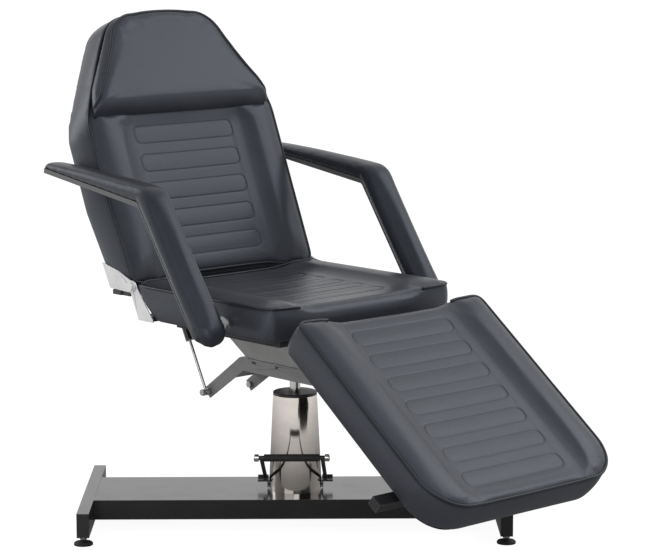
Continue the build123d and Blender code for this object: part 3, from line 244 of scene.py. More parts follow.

# Corners found by the Bevel node get a mask that stands for rubbed paint and for a painted edge
# highlight.
edge_wear_and_highlight, entry, leave = start_group(
    "edge_wear_and_highlight",
    [("Radius", "Float", EDGE_MASK_RADIUS), ("Amount", "Float", 0.5)],
    [("Mask", "Float", None)])
rounded = put(edge_wear_and_highlight, "Bevel", {"samples": EDGE_MASK_SAMPLES}, Radius=entry["Radius"]).outputs[0]
true_normal = put(edge_wear_and_highlight, "NewGeometry").outputs["Normal"]
facing = dot(edge_wear_and_highlight, rounded, true_normal)
corner = remap(edge_wear_and_highlight, facing, FLAT_FACING, CORNER_FACING, 0.0, 1.0)
rub = put(edge_wear_and_highlight, "TexNoise", Vector=object_point(edge_wear_and_highlight), Scale=RUB_SCALE,
          Detail=4.0).outputs[0]
corner = math_node(edge_wear_and_highlight, "MULTIPLY", corner, remap(edge_wear_and_highlight, rub, 0.4, 0.62, 0.15, 1.0))
mask = math_node(edge_wear_and_highlight, "MULTIPLY", corner, entry["Amount"], True)
edge_wear_and_highlight.links.new(mask, leave["Mask"])

brushed, entry, leave = start_group(
    "brushed",
    [("Stretch", "Vector", BRUSH_STRETCH), ("Base roughness", "Float", 0.25),
     ("Spread", "Float", 0.1)],
    [("Shade", "Color", None), ("Roughness", "Float", None), ("Height", "Float", None)])
point = object_point(brushed)
squeezed = put(brushed, "VectorMath", {"operation": "MULTIPLY"},
               i0=point, i1=entry["Stretch"]).outputs[0]
lines = put(brushed, "TexNoise", Vector=squeezed, Scale=1.0, Detail=3.0).outputs[0]
smudge = put(brushed, "TexNoise", Vector=point, Scale=SMUDGE_SCALE, Detail=3.0).outputs[0]
brushed.links.new(grey(brushed, remap(brushed, lines, 0.25, 0.75, 0.9, 1.0)), leave["Shade"])
uneven = math_node(brushed, "ADD", lines,
                   remap(brushed, smudge, NOISE_LOW, NOISE_HIGH, -0.5, 0.5))
spread = math_node(brushed, "MULTIPLY", entry["Spread"], uneven)
brushed.links.new(math_node(brushed, "ADD", entry["Base roughness"], spread), leave["Roughness"])
brushed.links.new(lines, leave["Height"])
print("groups", powder_coat.name, edge_wear_and_highlight.name, brushed.name)

# %% [markdown]
# Materials of the hard parts
#
# One function makes every painted or moulded finish: the powder-coat group for
# the skin and the wear-and-highlight group, which lightens its corners with rubbed
# wear and a painted highlight. A second one makes bare metal from the brushed
# group. Only numbers differ between the black base, the riser, whose warm grey is
# painted light bounced up from the floor, the light arm boards and the chromed cover.

# %% Material makers
def shell(name):
    material = bpy.data.materials.new(name)
    material.use_nodes = True
    tree = material.node_tree
    return material, tree, tree.nodes["Principled BSDF"]


# The pale corner tone is partly rubbed paint and partly a painted edge highlight.
WEAR_AND_HIGHLIGHT_TONE = (0.35, 0.33, 0.3, 1)
COAT_RELIEF, METAL_RELIEF = 0.5, 0.4
ZINC_METALLIC = 0.35


def lay_skin(tree, surface, colour, skin, strength, depth):
    """Feeds a skin's colour, roughness and relief into the surface shader."""
    relief = put(tree, "Bump", Strength=strength, Distance=depth, Height=skin["Height"])
    tree.links.new(colour, surface.inputs["Base Color"])
    tree.links.new(skin["Roughness"], surface.inputs["Roughness"])
    tree.links.new(relief.outputs[0], surface.inputs["Normal"])


def coated(name, colour, roughness, peel=PEEL, wear_and_highlight=0.4, depth=0.00008, specular=0.5):
    material, tree, surface = shell(name)
    skin = place_group(tree, powder_coat,
                       **{"Colour": colour, "Peel": peel, "Base roughness": roughness})
    # The edge mask lightens the corners: rubbed wear and a painted highlight.
    mask = place_group(tree, edge_wear_and_highlight, Radius=EDGE_MASK_RADIUS, Amount=wear_and_highlight)["Mask"]
    lay_skin(tree, surface, tint(tree, mask, skin["Colour"], WEAR_AND_HIGHLIGHT_TONE), skin, COAT_RELIEF, depth)
    surface.inputs["Specular IOR Level"].default_value = specular
    return material


def bare_metal(name, colour, roughness, spread=0.1, stretch=BRUSH_STRETCH, depth=0.00002):
    material, tree, surface = shell(name)
    skin = place_group(tree, brushed,
                       **{"Stretch": stretch, "Base roughness": roughness, "Spread": spread})
    shaded = tint(tree, 1.0, colour, skin["Shade"], "MULTIPLY")
    lay_skin(tree, surface, shaded, skin, METAL_RELIEF, depth)
    surface.inputs["Metallic"].default_value = 1.0
    return material


finishes = {
    "base_paint": coated("black_base_paint", (0.008, 0.008, 0.009, 1), 0.16,
                         wear_and_highlight=0.2, specular=0.8),
    "frame_paint": coated("black_frame_paint", (0.013, 0.013, 0.015, 1), 0.42),
    # The riser's warm grey is painted light: it stands for light bounced up from the white floor
    # onto its sides.
    "riser_paint": coated("riser_floor_light_paint", (0.26, 0.257, 0.254, 1), 0.42),
    "carrier_paint": coated("grey_carrier_paint", (0.165, 0.165, 0.168, 1), 0.42),
    "bright_steel": coated("bright_zinc_plate", (0.62, 0.62, 0.63, 1), 0.3,
                           peel=900.0, wear_and_highlight=0.15),
    "chrome": bare_metal("chromed_tube", (0.66, 0.61, 0.57, 1), 0.08, 0.03,
                         (25, 25, 60), 0.000002),
    "ground_rod": bare_metal("ground_spring_rod", (0.60, 0.59, 0.58, 1), 0.16, 0.03,
                             (12, 12, 12), 0.000001),
    "plain_steel": bare_metal("plain_steel_part", (0.45, 0.44, 0.43, 1), 0.3, 0.15),
    "iron": coated("cast_pump_iron", (0.06, 0.06, 0.06, 1), 0.6, peel=160.0, depth=0.0003),
    "black_plastic": coated("black_moulded_plastic", (0.012, 0.012, 0.012, 1), 0.45,
                            peel=700.0, wear_and_highlight=0.05),
    "black_rubber": coated("black_rubber", (0.011, 0.011, 0.011, 1), 0.62,
                           peel=350.0, wear_and_highlight=0.0, specular=0.35),
    "board": coated("dark_backing_board", (0.016, 0.016, 0.017, 1), 0.7,
                    peel=260.0, wear_and_highlight=0.2, depth=0.0002),
    "arm_board": coated("light_arm_board", (0.082, 0.082, 0.085, 1), 0.5,
                        peel=500.0, wear_and_highlight=0.1),
}
zinc = finishes["bright_steel"].node_tree.nodes["Principled BSDF"]
zinc.inputs["Metallic"].default_value = ZINC_METALLIC
print("finishes:", ", ".join(finishes))

# %% [markdown]
# Materials of the covers
#
# The cover is black with a trace of blue, satin rather than shiny. The cord
# sewn into its edges is covered with the same cloth, but stretched tight over
# a thin core, so it is smoother and a little glossier. The arm pads take a darker
# copy of the same cover, whose extra darkness is painted shade.

# %% Cover materials
GRAIN_RELIEF = 0.35
COVER_SHEEN = (0.78, 0.87, 1.0, 1)


def cover(name, colour, pebbles, depth, specular):
    material, tree, surface = shell(name)
    # The seam attribute darkens the colour along seams and cords as painted shade.
    seam = put(tree, "Attribute", {"attribute_name": "seam"}).outputs["Fac"]
    skin = place_group(tree, leather_grain, Colour=colour, Pebbles=pebbles, Seam=seam)
    lay_skin(tree, surface, skin["Colour"], skin, GRAIN_RELIEF, depth)
    surface.inputs["Specular IOR Level"].default_value = specular
    surface.inputs["Specular Tint"].default_value = COVER_SHEEN
    return material


cushion_cover = cover("black_cushion_cover", (0.031, 0.033, 0.041, 1), PEBBLES, 0.0003, 0.42)
# A darker copy of the cushion cover: the extra darkness is painted shade on the arm pads.
shaded_arm_cover = cover("black_arm_cover", (0.021, 0.023, 0.029, 1), PEBBLES, 0.0003, 0.36)
welt_cover = cover("black_welt_cover", (0.010, 0.010, 0.012, 1), 900.0, 0.0002, 0.4)
print("covers:", cushion_cover.name, shaded_arm_cover.name, welt_cover.name)

# %% [markdown]
# Dressing the hard parts
#
# The CAD pieces keep their own meshes. Their triangles are loose, so a Weld
# modifier joins them first, and a Bevel then breaks every sharp edge, which is
# what makes painted steel catch the light. Only edges sharper than the limit
# are touched, so round tubes stay round.

# %% Hard pieces
EDGE_BREAK = 0.0007
WELD_REACH = 0.00001
SHARP = math.radians(34)
FLATS_FIRST = 80
slots = {row["node"]: row["material_slot"] for row in frame["record"]["subparts"]}


def shade_smooth(mesh):
    mesh.polygons.foreach_set("use_smooth", [True] * len(mesh.polygons))


def dress(node, finish_name):
    piece = frame["nodes"][node]
    piece.data.materials.clear()
    piece.data.materials.append(finishes[finish_name])
    weld = piece.modifiers.new("join", "WELD")
    weld.merge_threshold = WELD_REACH
    rounding = piece.modifiers.new("edges", "BEVEL")
    rounding.width, rounding.segments, rounding.limit_method = EDGE_BREAK, 2, "ANGLE"
    rounding.angle_limit = SHARP
    flats = piece.modifiers.new("flats", "WEIGHTED_NORMAL")
    flats.mode, flats.weight = "FACE_AREA", FLATS_FIRST
    shade_smooth(piece.data)


own_finish = {"seat_carrier": "carrier_paint", "pedal_bar": "frame_paint",
              "piston_rod": "ground_rod", "back_spring_rod": "ground_rod",
              "leg_spring_rod": "ground_rod"}
for node, slot in slots.items():
    if slot in finishes:
        dress(node, own_finish.get(node, slot))
print("dressed", sum(s in finishes for s in slots.values()), "hard pieces of", len(slots))

# %% [markdown]
# Frames for the cushions
#
# Each cushion is easier to shape lying flat, with X across, Y lengthwise and Z
# out of the panel. A matrix per cushion carries it between that bench and its
# place on the chair.

# %% Cushion frames
BACK_TURN, LEG_TURN = math.radians(67.7), math.radians(36.9)
SEAT_ORIGIN = (COLUMN_X, 0, 0.597)
BACK_ORIGIN = (COLUMN_X - 0.272, 0, 0.611)
LEG_ORIGIN = (COLUMN_X + 0.3426, 0, 0.5807)


def bench(origin, across, outward):
    x, z = Vector(across), Vector(outward).normalized()
    y = z.cross(x)
    turn = Matrix((x, y, z)).transposed().to_4x4()
    return Matrix.Translation(Vector(origin)) @ turn


seat_bench = bench(SEAT_ORIGIN, (0, -1, 0), (0, 0, 1))
back_bench = bench(BACK_ORIGIN, (0, 1, 0), (math.sin(BACK_TURN), 0, math.cos(BACK_TURN)))
leg_bench = bench(LEG_ORIGIN, (0, -1, 0), (math.sin(LEG_TURN), 0, math.cos(LEG_TURN)))
print("benches", [tuple(round(v, 3) for v in m.translation)
                  for m in (seat_bench, back_bench, leg_bench)])

# %% [markdown]
# Stuffing a cushion
#
# A sewn cover is held at its seams and pushed out by foam everywhere else. That
# is what a cloth simulation does with pressure inside and the seams pinned. The
# CAD cushion is copied, remeshed into even squares, smoothed and blown up. A cap
# keeps any point from moving further than firm foam would.

# %% Stuffing tools
JOIN_REACH = 0.00002
RELAX_SHARE = 0.5


def clamped(value):
    return min(max(value, 0.0), 1.0)


def baked(piece):
    """Turns a piece's modifiers into its mesh."""
    scene.view_layers[0].update()
    reader = bpy.context.evaluated_depsgraph_get()
    mesh = bpy.data.meshes.new_from_object(piece.evaluated_get(reader))
    old = piece.data
    piece.modifiers.clear()
    piece.data = mesh
    bpy.data.meshes.remove(old)


def relax(piece, rounds, group=""):
    step = piece.modifiers.new("relax", "SMOOTH")
    step.factor, step.iterations, step.vertex_group = RELAX_SHARE, rounds, group


def weigh(piece, name, weight):
    """Keeps what a function says of each point as a vertex group."""
    group = piece.vertex_groups.new(name=name)
    for vertex in piece.data.vertices:
        share = weight(vertex)
        if share > 0:
            group.add([vertex.index], share, "REPLACE")


def even_copy(node, name, on_bench, voxel, inset=0.0):
    """Copies a CAD cushion onto its bench, as a mesh of even squares."""
    mesh = frame["nodes"][node].data.copy()
    mesh.transform(on_bench.inverted())
    shape = bmesh.new()
    shape.from_mesh(mesh)
    bmesh.ops.remove_doubles(shape, verts=shape.verts, dist=JOIN_REACH)
    shape.to_mesh(mesh)
    shape.free()
    mesh.name = name
    mesh.materials.clear()
    piece = bpy.data.objects.new(name, mesh)
    scene.collection.objects.link(piece)
    even = piece.modifiers.new("even", "REMESH")
    even.mode, even.voxel_size = "VOXEL", voxel
    relax(piece, 2)
    shrink = piece.modifiers.new("shrink", "DISPLACE")
    shrink.strength, shrink.mid_level = -inset, 0.0
    baked(piece)
    return piece


def soften(piece, weight, rounds):
    """Smooths a piece, each point as far as its weight says."""
    weigh(piece, "soft", weight)
    relax(piece, rounds, "soft")
    baked(piece)
    piece.vertex_groups.clear()


def stuff(piece, held, cap, pressure=4.0, steps=20):
    """Blows the cover out from inside, and then lets no point go further than its cap."""
    start = [v.co.copy() for v in piece.data.vertices]
    weigh(piece, "held", held)
    cloth = piece.modifiers.new("stuffing", "CLOTH")
    cloth.settings.use_pressure = True
    cloth.settings.uniform_pressure_force = pressure
    cloth.settings.effector_weights.gravity = 0
    cloth.settings.vertex_group_mass = "held"
    cloth.point_cache.frame_start, cloth.point_cache.frame_end = 1, steps
    for step in range(1, steps + 1):
        scene.frame_set(step)
    baked(piece)
    scene.frame_set(1)
    piece.vertex_groups.clear()
    for vertex, before in zip(piece.data.vertices, start):
        move = vertex.co - before
        most = cap(before)
        if move.length > most:
            vertex.co = before + move * (most / move.length)


def draw_out(piece, edge, run, amount):
    """Lengthens a cushion beyond its edge, where it is squeezed against its neighbour."""
    for vertex in piece.data.vertices:
        share = clamped((edge + run - vertex.co.y) / run)
        vertex.co.y -= amount * share * share * (3 - 2 * share)


def smoother(piece):
    """Divides every face of a piece once more, along a smooth surface."""
    finer = piece.modifiers.new("finer", "SUBSURF")
    finer.levels = finer.render_levels = 1
    baked(piece)


print("stuffing tools ready")

# %% [markdown]
# Sewing lines
#
# A sewn channel is a narrow groove with the cover puffed up on both sides. Near
# every line the mesh is made finer with one more subdivision, and then each
# point sinks by how close it is to the line. The same closeness is kept as the
# seam attribute, which the cover's shader turns into painted shade.

# %% Sewing tools
PANEL_HALF_LENGTH, PANEL_HALF_WIDTH = 0.159, 0.0225
GROOVE_DEPTH, GROOVE_WIDTH = 0.001, 0.0015
CORD_SHADE_START, CORD_SHADE_END = 0.005, 0.010
PANEL_PUFF = 0.0003
SEWN_REACH = 0.009
WELT_RADIUS, WELT_SPACING, WELT_ROUNDS = 0.0038, 0.006, 5
WELT_CUT, WELT_PROUD = -0.024, 0.0018


def panel_distance(point, middle, corner, shift):
    """How far a point is outside (or inside, if below zero) of a round-cornered sewn panel."""
    across = abs(point.x - shift) - PANEL_HALF_LENGTH + corner
    along = abs(point.y - middle) - PANEL_HALF_WIDTH + corner
    outside = Vector((max(across, 0), max(along, 0))).length
    return outside + min(max(across, along), 0) - corner


def beside(line):
    """How close a point is to a cord: one in the crease beside it, none a centimetre away."""
    marks = KDTree(len(line))
    for index, point in enumerate(line):
        marks.insert(point, index)
    marks.balance()

    def closeness(point):
        gap = marks.find(point)[2]
        return clamped((CORD_SHADE_END - gap) / (CORD_SHADE_END - CORD_SHADE_START))
    return closeness


def sew(piece, distance, shade, puff):
    """Sinks the cover along its sewing lines and puffs it up between them."""
    shape = bmesh.new()
    shape.from_mesh(piece.data)
    near = [e for e in shape.edges
            if all(abs(distance(v)) < SEWN_REACH for v in e.verts)]
    bmesh.ops.subdivide_edges(shape, edges=near, cuts=1, use_grid_fill=True)
    shape.normal_update()
    moves = []
    layer = shape.verts.layers.float.new("seam")
    for vertex in shape.verts:
        closeness = math.exp(-(distance(vertex) / GROOVE_WIDTH) ** 2)
        vertex[layer] = max(closeness, shade(vertex.co))
        moves.append(vertex.normal * (puff(vertex) - GROOVE_DEPTH * closeness))
    for vertex, move in zip(shape.verts, moves):
        vertex.co += move
    shape.to_mesh(piece.data)
    shape.free()


def seam_loop(piece, middle, normal, away=0.0):
    """Points of the longest line where a plane cuts the cushion.

    The edges are taken in the cut's own order, so the line starts at the same one each run.
    """
    shape = bmesh.new()
    shape.from_mesh(piece.data)
    cut = bmesh.ops.bisect_plane(shape, geom=shape.verts[:] + shape.edges[:] + shape.faces[:],
                                 plane_co=middle, plane_no=normal)["geom_cut"]
    edges = dict.fromkeys(e for e in cut if isinstance(e, bmesh.types.BMEdge))
    shape.normal_update()
    loops = []
    while edges:
        edge = next(iter(edges))
        del edges[edge]
        run = [edge.verts[0], edge.verts[1]]
        while True:
            step = next((e for e in run[-1].link_edges if e in edges), None)
            if step is None:
                break
            del edges[step]
            run.append(step.other_vert(run[-1]))
        loops.append([v.co + v.normal * away for v in run])
    shape.free()
    longest = max(loops, key=lambda run: sum((a - b).length for a, b in zip(run, run[1:])))
    if (longest[0] - longest[-1]).length < 1e-6:
        longest.pop()
    return longest


def even_points(points, closed, spacing):
    """Points at an even spacing along a line."""
    ring = points + [points[0]] if closed else points
    reach = [0.0]
    for a, b in zip(ring, ring[1:]):
        reach.append(reach[-1] + (b - a).length)
    count = max(8, round(reach[-1] / spacing))
    made, k = [], 0
    for i in range(count if closed else count + 1):
        target = reach[-1] * i / count
        while k < len(reach) - 2 and reach[k + 1] < target:
            k += 1
        span = reach[k + 1] - reach[k]
        made.append(ring[k].lerp(ring[k + 1], (target - reach[k]) / span if span else 0))
    return made


def relaxed(points, closed, rounds):
    """Smooths a line of points, and leaves the ends of an open one in place."""
    for _ in range(rounds):
        count = len(points)
        points = [p if not closed and i in (0, count - 1)
                  else p * 0.5 + (points[i - 1] + points[(i + 1) % count]) * 0.25
                  for i, p in enumerate(points)]
    return points


def kept_run(points, keep):
    """The longest run of neighbours on a closed line that keep() accepts."""
    flags = [keep(p) for p in points]
    if all(flags):
        return points, True
    first = flags.index(False)
    turned = points[first:] + points[:first]
    runs, run = [], []
    for p in turned:
        if keep(p):
            run.append(p)
        elif run:
            runs.append(run)
            run = []
    if run:
        runs.append(run)
    return max(runs, key=len), False


def on_surface(piece, points, away):
    """Moves points to the nearest place on a piece, and out from it by a little."""
    tree = BVHTree.FromPolygons([v.co for v in piece.data.vertices],
                                [p.vertices[:] for p in piece.data.polygons])
    found = [tree.find_nearest(p) for p in points]
    return [place + normal * away for place, normal, _, _ in found]


def welt(name, points, closed):
    """A cord along a line of points."""
    points = relaxed(even_points(points, closed, WELT_SPACING), closed, WELT_ROUNDS)
    line = bpy.data.curves.new(name, "CURVE")
    line.dimensions = "3D"
    line.bevel_depth, line.bevel_resolution, line.use_fill_caps = WELT_RADIUS, 2, True
    spline = line.splines.new("POLY")
    spline.points.add(len(points) - 1)
    for spot, p in zip(spline.points, points):
        spot.co = (*p, 1)
    spline.use_cyclic_u = closed
    drawn = bpy.data.objects.new(name, line)
    scene.collection.objects.link(drawn)
    scene.view_layers[0].update()
    reader = bpy.context.evaluated_depsgraph_get()
    mesh = bpy.data.meshes.new_from_object(drawn.evaluated_get(reader))
    bpy.data.objects.remove(drawn)
    piece = bpy.data.objects.new(name, mesh)
    scene.collection.objects.link(piece)
    return piece


def hand_over(piece, body, material, on_bench=None):
    """Carries a finished piece to its place, smooths its shading and hangs it on its body."""
    if on_bench is not None:
        piece.data.transform(on_bench)
    piece.data.materials.clear()
    piece.data.materials.append(material)
    shade_smooth(piece.data)
    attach(piece, body)
    print(piece.name, "faces", len(piece.data.polygons), "on", body)


print("sewing tools ready")

# %% [markdown]
# Seat, back and leg cushions
#
# The three big cushions are alike: a side band, a crowned edge with a welt
# cord, raised bolsters and a dished middle with sewn ovals. One function makes
# them, and what differs is given to it in three calls. The cord is left out
# where a cushion meets its neighbour.

# %% Big cushions
VOXEL = 0.0072
FACING_UP = 0.5
SIDE_TOP, SIDE_FACING, SIDE_ROUNDS = -0.012, 0.6, 24
DISH_SHARE = 0.45
DISH_FLOOR, DISH_HALF_WIDTH, DISH_ROUNDS = -0.03, 0.262, 28
FOAM_CAP = 0.006
DISH_CAP = 0.0012
DISH_EDGE, BOLSTER_EDGE = 0.18, 0.24
BOTTOM_HOLD, EDGE_HOLD, EDGE_FACING, END_FACING = 0.006, 0.004, 0.85, 0.4
SEWN_HOLD, SEWN_FACING, SEWN_WEIGHT = 0.004, 0.6, 0.8
CORD_MARKS = 0.003
SEAT_WELT_END, LEG_WELT_START, WELT_CORNER = 0.22, 0.03, 0.2
SEAT_THICKNESS, BACK_THICKNESS, LEG_THICKNESS = 0.0847, 0.095, 0.090


def foam_cap(point):
    """The sewn middle is held down, and the bolsters beside it are free to swell."""
    share = clamped((abs(point.x) - DISH_EDGE) / (BOLSTER_EDGE - DISH_EDGE))
    return DISH_CAP + (FOAM_CAP - DISH_CAP) * share


def big_cushion(name, node, body, on_bench, thickness, ovals, keep_welt, corner, shift,
                squeezed=None, fit=None):
    def on_side(vertex):
        return float(vertex.co.z < SIDE_TOP and abs(vertex.normal.z) < SIDE_FACING)

    def in_dish(vertex):
        return float(top[vertex.index] and abs(vertex.co.x) < DISH_HALF_WIDTH)

    piece = even_copy(node, name, on_bench, VOXEL)
    if fit:
        for vertex in piece.data.vertices:
            fit(vertex.co)
        soften(piece, on_side, SIDE_ROUNDS)
    if squeezed:
        draw_out(piece, *squeezed)
    top = [v.normal.z > FACING_UP and v.co.z > DISH_FLOOR for v in piece.data.vertices]
    for vertex, on_top in zip(piece.data.vertices, top):
        if on_top and vertex.co.z < 0:
            vertex.co.z *= DISH_SHARE
    soften(piece, in_dish, DISH_ROUNDS)

    def nearest_oval(vertex):
        return min((panel_distance(vertex.co, s, corner, shift) for s in ovals), key=abs)

    def held(vertex):
        if vertex.co.z < -thickness + BOTTOM_HOLD:
            return 1.0
        outward = vertex.normal.x * vertex.co.x > 0 or abs(vertex.normal.y) > END_FACING
        if abs(vertex.co.z) < EDGE_HOLD and vertex.normal.z < EDGE_FACING and outward:
            return 1.0
        if vertex.normal.z > SEWN_FACING and abs(nearest_oval(vertex)) < SEWN_HOLD:
            return SEWN_WEIGHT
        return 0.0

    stuff(piece, held, foam_cap)
    smoother(piece)
    rim = seam_loop(piece, (0, 0, WELT_CUT), (0, 0, 1))
    edge = on_surface(piece, [Vector((p.x, p.y, 0)) for p in rim], WELT_PROUD)
    points, closed = kept_run(edge, keep_welt)

    def groove(vertex):
        if vertex.normal.z < FACING_UP:
            return 1.0
        return nearest_oval(vertex)

    def puff(vertex):
        gap = nearest_oval(vertex)
        if vertex.normal.z < FACING_UP or gap > 0:
            return 0.0
        return PANEL_PUFF * (1 - (1 + gap / PANEL_HALF_WIDTH) ** 2)

    sew(piece, groove, beside(even_points(points, closed, CORD_MARKS)), puff)
    hand_over(piece, body, cushion_cover, on_bench)
    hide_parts(node)
    cord = welt(name + "_welt", points, closed)
    hand_over(cord, body, welt_cover, on_bench)


def row(first, count, pitch=0.075):
    return [first + pitch * i for i in range(count)]


CROWN_START, CROWN_RUN, CROWN_DROP = 0.60, 0.08, 0.013
HIP_TOP, HIP_FULL, WAIST_FULL, WAIST_END = 0.475, 0.385, 0.2, 0.02
FLANK_START, FLANK_RUN = 0.2, 0.06
FLARE, NEAR_FULLNESS = 0.014, 0.010


def fuller_back(point):
    """Lowers the back's crown, flares its flanks to the rear, and fills out the near one."""
    depth = clamped(-point.z / BACK_THICKNESS)
    crown = clamped((point.y - CROWN_START) / CROWN_RUN)
    upper = clamped((HIP_TOP - point.y) / (HIP_TOP - HIP_FULL))
    lower = clamped((point.y - WAIST_END) / (WAIST_FULL - WAIST_END))
    flank = clamped((abs(point.x) - FLANK_START) / FLANK_RUN) * upper * lower
    point.y -= CROWN_DROP * crown * (1 - depth / 2)
    point.x += math.copysign(FLARE * depth * flank, point.x)
    if point.x < 0:
        point.x -= NEAR_FULLNESS * flank


big_cushion("seat_pad", "seat_cushion", "seat", seat_bench, SEAT_THICKNESS, row(-0.15, 5),
            lambda p: p.y < SEAT_WELT_END or abs(p.x) > WELT_CORNER,
            corner=0.02, shift=0.005, squeezed=(-0.17, 0.07, 0.014))
big_cushion("back_pad", "back_cushion", "backrest", back_bench, BACK_THICKNESS, row(0.066, 5),
            lambda p: True,
            corner=0.016, shift=-0.010, squeezed=(0.0, 0.05, 0.016), fit=fuller_back)
big_cushion("leg_pad", "leg_cushion", "leg_rest", leg_bench, LEG_THICKNESS, row(0.074, 7),
            lambda p: p.y > LEG_WELT_START or abs(p.x) > WELT_CORNER,
            corner=0.02, shift=0.010)

# %% [markdown]
# Headrest
#
# The headrest is a wedge sewn onto the top of the back. Its front panel is
# almost flat and its lower edge is rolled under. In the photograph it sits a
# little lower than in the CAD model, and its foot leans to the near side. A
# welt runs round the panel and down both ends of the roll.

# %% Head cushion
HEAD_VOXEL, HEAD_CAP, HEAD_HOLD = 0.006, 0.0015, 0.005
HEAD_TILT = math.radians(5.35)
HEAD_TOP, HEAD_HALF_WIDTH = 0.044, 0.15
PANEL_INSET, PANEL_PROUD, FOLD_CLEAR = 0.006, 0.0012, 0.003
END_WIDER, END_RISE, END_LEVEL, END_STEPS = 1.04, 0.004, 0.006, 6
HEAD_FOOT, HEAD_FOLD, HEAD_CREST = 0.428, 0.478, 0.70
FOOT_DROP, FOLD_DROP, CREST_DROP = 0.012, 0.017, 0.011
FOLD_SPREAD, CREST_SPREAD = 0.014, -0.03
FOLD_SHIFT, CREST_SHIFT = 0.012, 0.004
head_pad = even_copy("head_cushion", "head_pad", back_bench, HEAD_VOXEL)
for vertex in head_pad.data.vertices:
    place = vertex.co
    rise = clamped(place.z / HEAD_TOP)
    side = min(max(place.x / HEAD_HALF_WIDTH, -1.0), 1.0)
    low = clamped((place.y - HEAD_FOOT) / (HEAD_FOLD - HEAD_FOOT))
    high = clamped((place.y - HEAD_FOLD) / (HEAD_CREST - HEAD_FOLD))
    spread = FOLD_SPREAD + (CREST_SPREAD - FOLD_SPREAD) * high
    place.x += spread * rise * side - FOLD_SHIFT - (CREST_SHIFT - FOLD_SHIFT) * high
    place.y -= FOOT_DROP + (FOLD_DROP - FOOT_DROP) * low + (CREST_DROP - FOLD_DROP) * high


def head_held(vertex):
    return 1.0 if vertex.co.z < HEAD_HOLD else 0.0


stuff(head_pad, head_held, lambda point: HEAD_CAP)
smoother(head_pad)
head_points, head_closed = kept_run(
    seam_loop(head_pad, (0, HEAD_FOLD - FOLD_DROP, HEAD_TOP - PANEL_INSET),
              (0, math.sin(HEAD_TILT), math.cos(HEAD_TILT)), PANEL_PROUD),
    lambda p: p.y > HEAD_FOLD - FOLD_DROP + FOLD_CLEAR)
for end, at_start in ((head_points[0], True), (head_points[-1], False)):
    foot = Vector((end.x * END_WIDER, HEAD_FOOT - FOOT_DROP + END_RISE, END_LEVEL))
    steps = [end.lerp(foot, i / END_STEPS) for i in range(1, END_STEPS + 1)]
    down = on_surface(head_pad, steps, WELT_PROUD)
    head_points = down[::-1] + head_points if at_start else head_points + down
hand_over(head_pad, "backrest", cushion_cover, back_bench)
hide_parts("head_cushion")
head_cord = welt("head_pad_welt", head_points, head_closed)
hand_over(head_cord, "backrest", welt_cover, back_bench)

# %% [markdown]
# Arm pads
#
# Each arm is a bent board with foam over it and a cover pulled round it. It has
# no welt, its section is nearly half round, and its tip thins to a soft point.
# The points on the board are held, and the others are free to be rounded.

# %% Arm pads
ARM_VOXEL, ARM_INSET, ARM_FILL, ARM_CAP = 0.0045, 0.001, 0.006, 0.004
BOARD_HOLD, BOARD_RUN = 0.003, 0.018
ARM_ROUNDS, POST_ROUNDS = 30, 25
ARM_MIDDLE, ARM_HALF_WIDTH = 0.3655, 0.0325
TIP_X, TIP_RUN = COLUMN_X - 0.503, 0.05
TIP_NARROWING, TIP_SINK, TIP_LONGER = 0.22, 0.004, 0.010
LIP_RUN, LIP_DROP = 0.008, 0.012
POST_END = 0.545
POST_NARROW, POST_RUN, POST_NARROWING, POST_LIFT = 0.555, 0.05, 0.35, 0.007
for side in ("right", "left"):
    node = "arm_pad_" + side
    middle = ARM_MIDDLE if side == "left" else -ARM_MIDDLE
    pad = even_copy(node, "arm_cushion_" + side, Matrix.Identity(4), ARM_VOXEL, ARM_INSET)
    board = frame["nodes"]["arm_board_" + side]
    tree = BVHTree.FromPolygons([v.co for v in board.data.vertices],
                                [p.vertices[:] for p in board.data.polygons])
    free = [clamped((tree.find_nearest(v.co)[3] - BOARD_HOLD) / BOARD_RUN)
            for v in pad.data.vertices]
    weigh(pad, "free", lambda vertex: free[vertex.index])
    relax(pad, ARM_ROUNDS, "free")
    fill = pad.modifiers.new("fill", "DISPLACE")
    fill.strength, fill.mid_level, fill.vertex_group = ARM_FILL, 0.0, "free"
    baked(pad)
    pad.vertex_groups.clear()
    soften(pad, lambda vertex: free[vertex.index] if vertex.co.z < POST_END else 0.0, POST_ROUNDS)
    for vertex, weight in zip(pad.data.vertices, free):
        tip = clamped((TIP_X + TIP_RUN - vertex.co.x) / TIP_RUN)
        vertex.co.y = middle + (vertex.co.y - middle) * (1 - TIP_NARROWING * tip * tip)
        vertex.co.z -= TIP_SINK * weight * tip * tip
        vertex.co.x -= TIP_LONGER * tip * tip
        lip = clamped((TIP_X + LIP_RUN - vertex.co.x) / LIP_RUN)
        vertex.co.z -= LIP_DROP * lip * lip
        low = clamped((POST_NARROW - vertex.co.z) / POST_RUN)
        aside = vertex.co.y - middle
        vertex.co.y = middle + aside * (1 - POST_NARROWING * low * low * weight)
        vertex.co.z += POST_LIFT * low * weight * min(abs(aside) / ARM_HALF_WIDTH, 1.0)
    stuff(pad, lambda vertex: 1.0 if free[vertex.index] == 0.0 else 0.0, lambda point: ARM_CAP)
    smoother(pad)
    hand_over(pad, side + "_armrest", shaded_arm_cover)
    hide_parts(node)

# %% [markdown]
# Floor, backdrop and light
#
# The chair stands in a bright studio. The floor is a very large pale sheet, so
# that no horizon shows. For the camera and for mirror rays it mostly glows
# white, which hides where it ends, and for the rest it is plain, so that it
# still takes the chair's soft shadow. The world does the same for the backdrop.
# For mirror rays the floor's glow is dimmer near the chair: a painted shadow
# that shows in reflections.

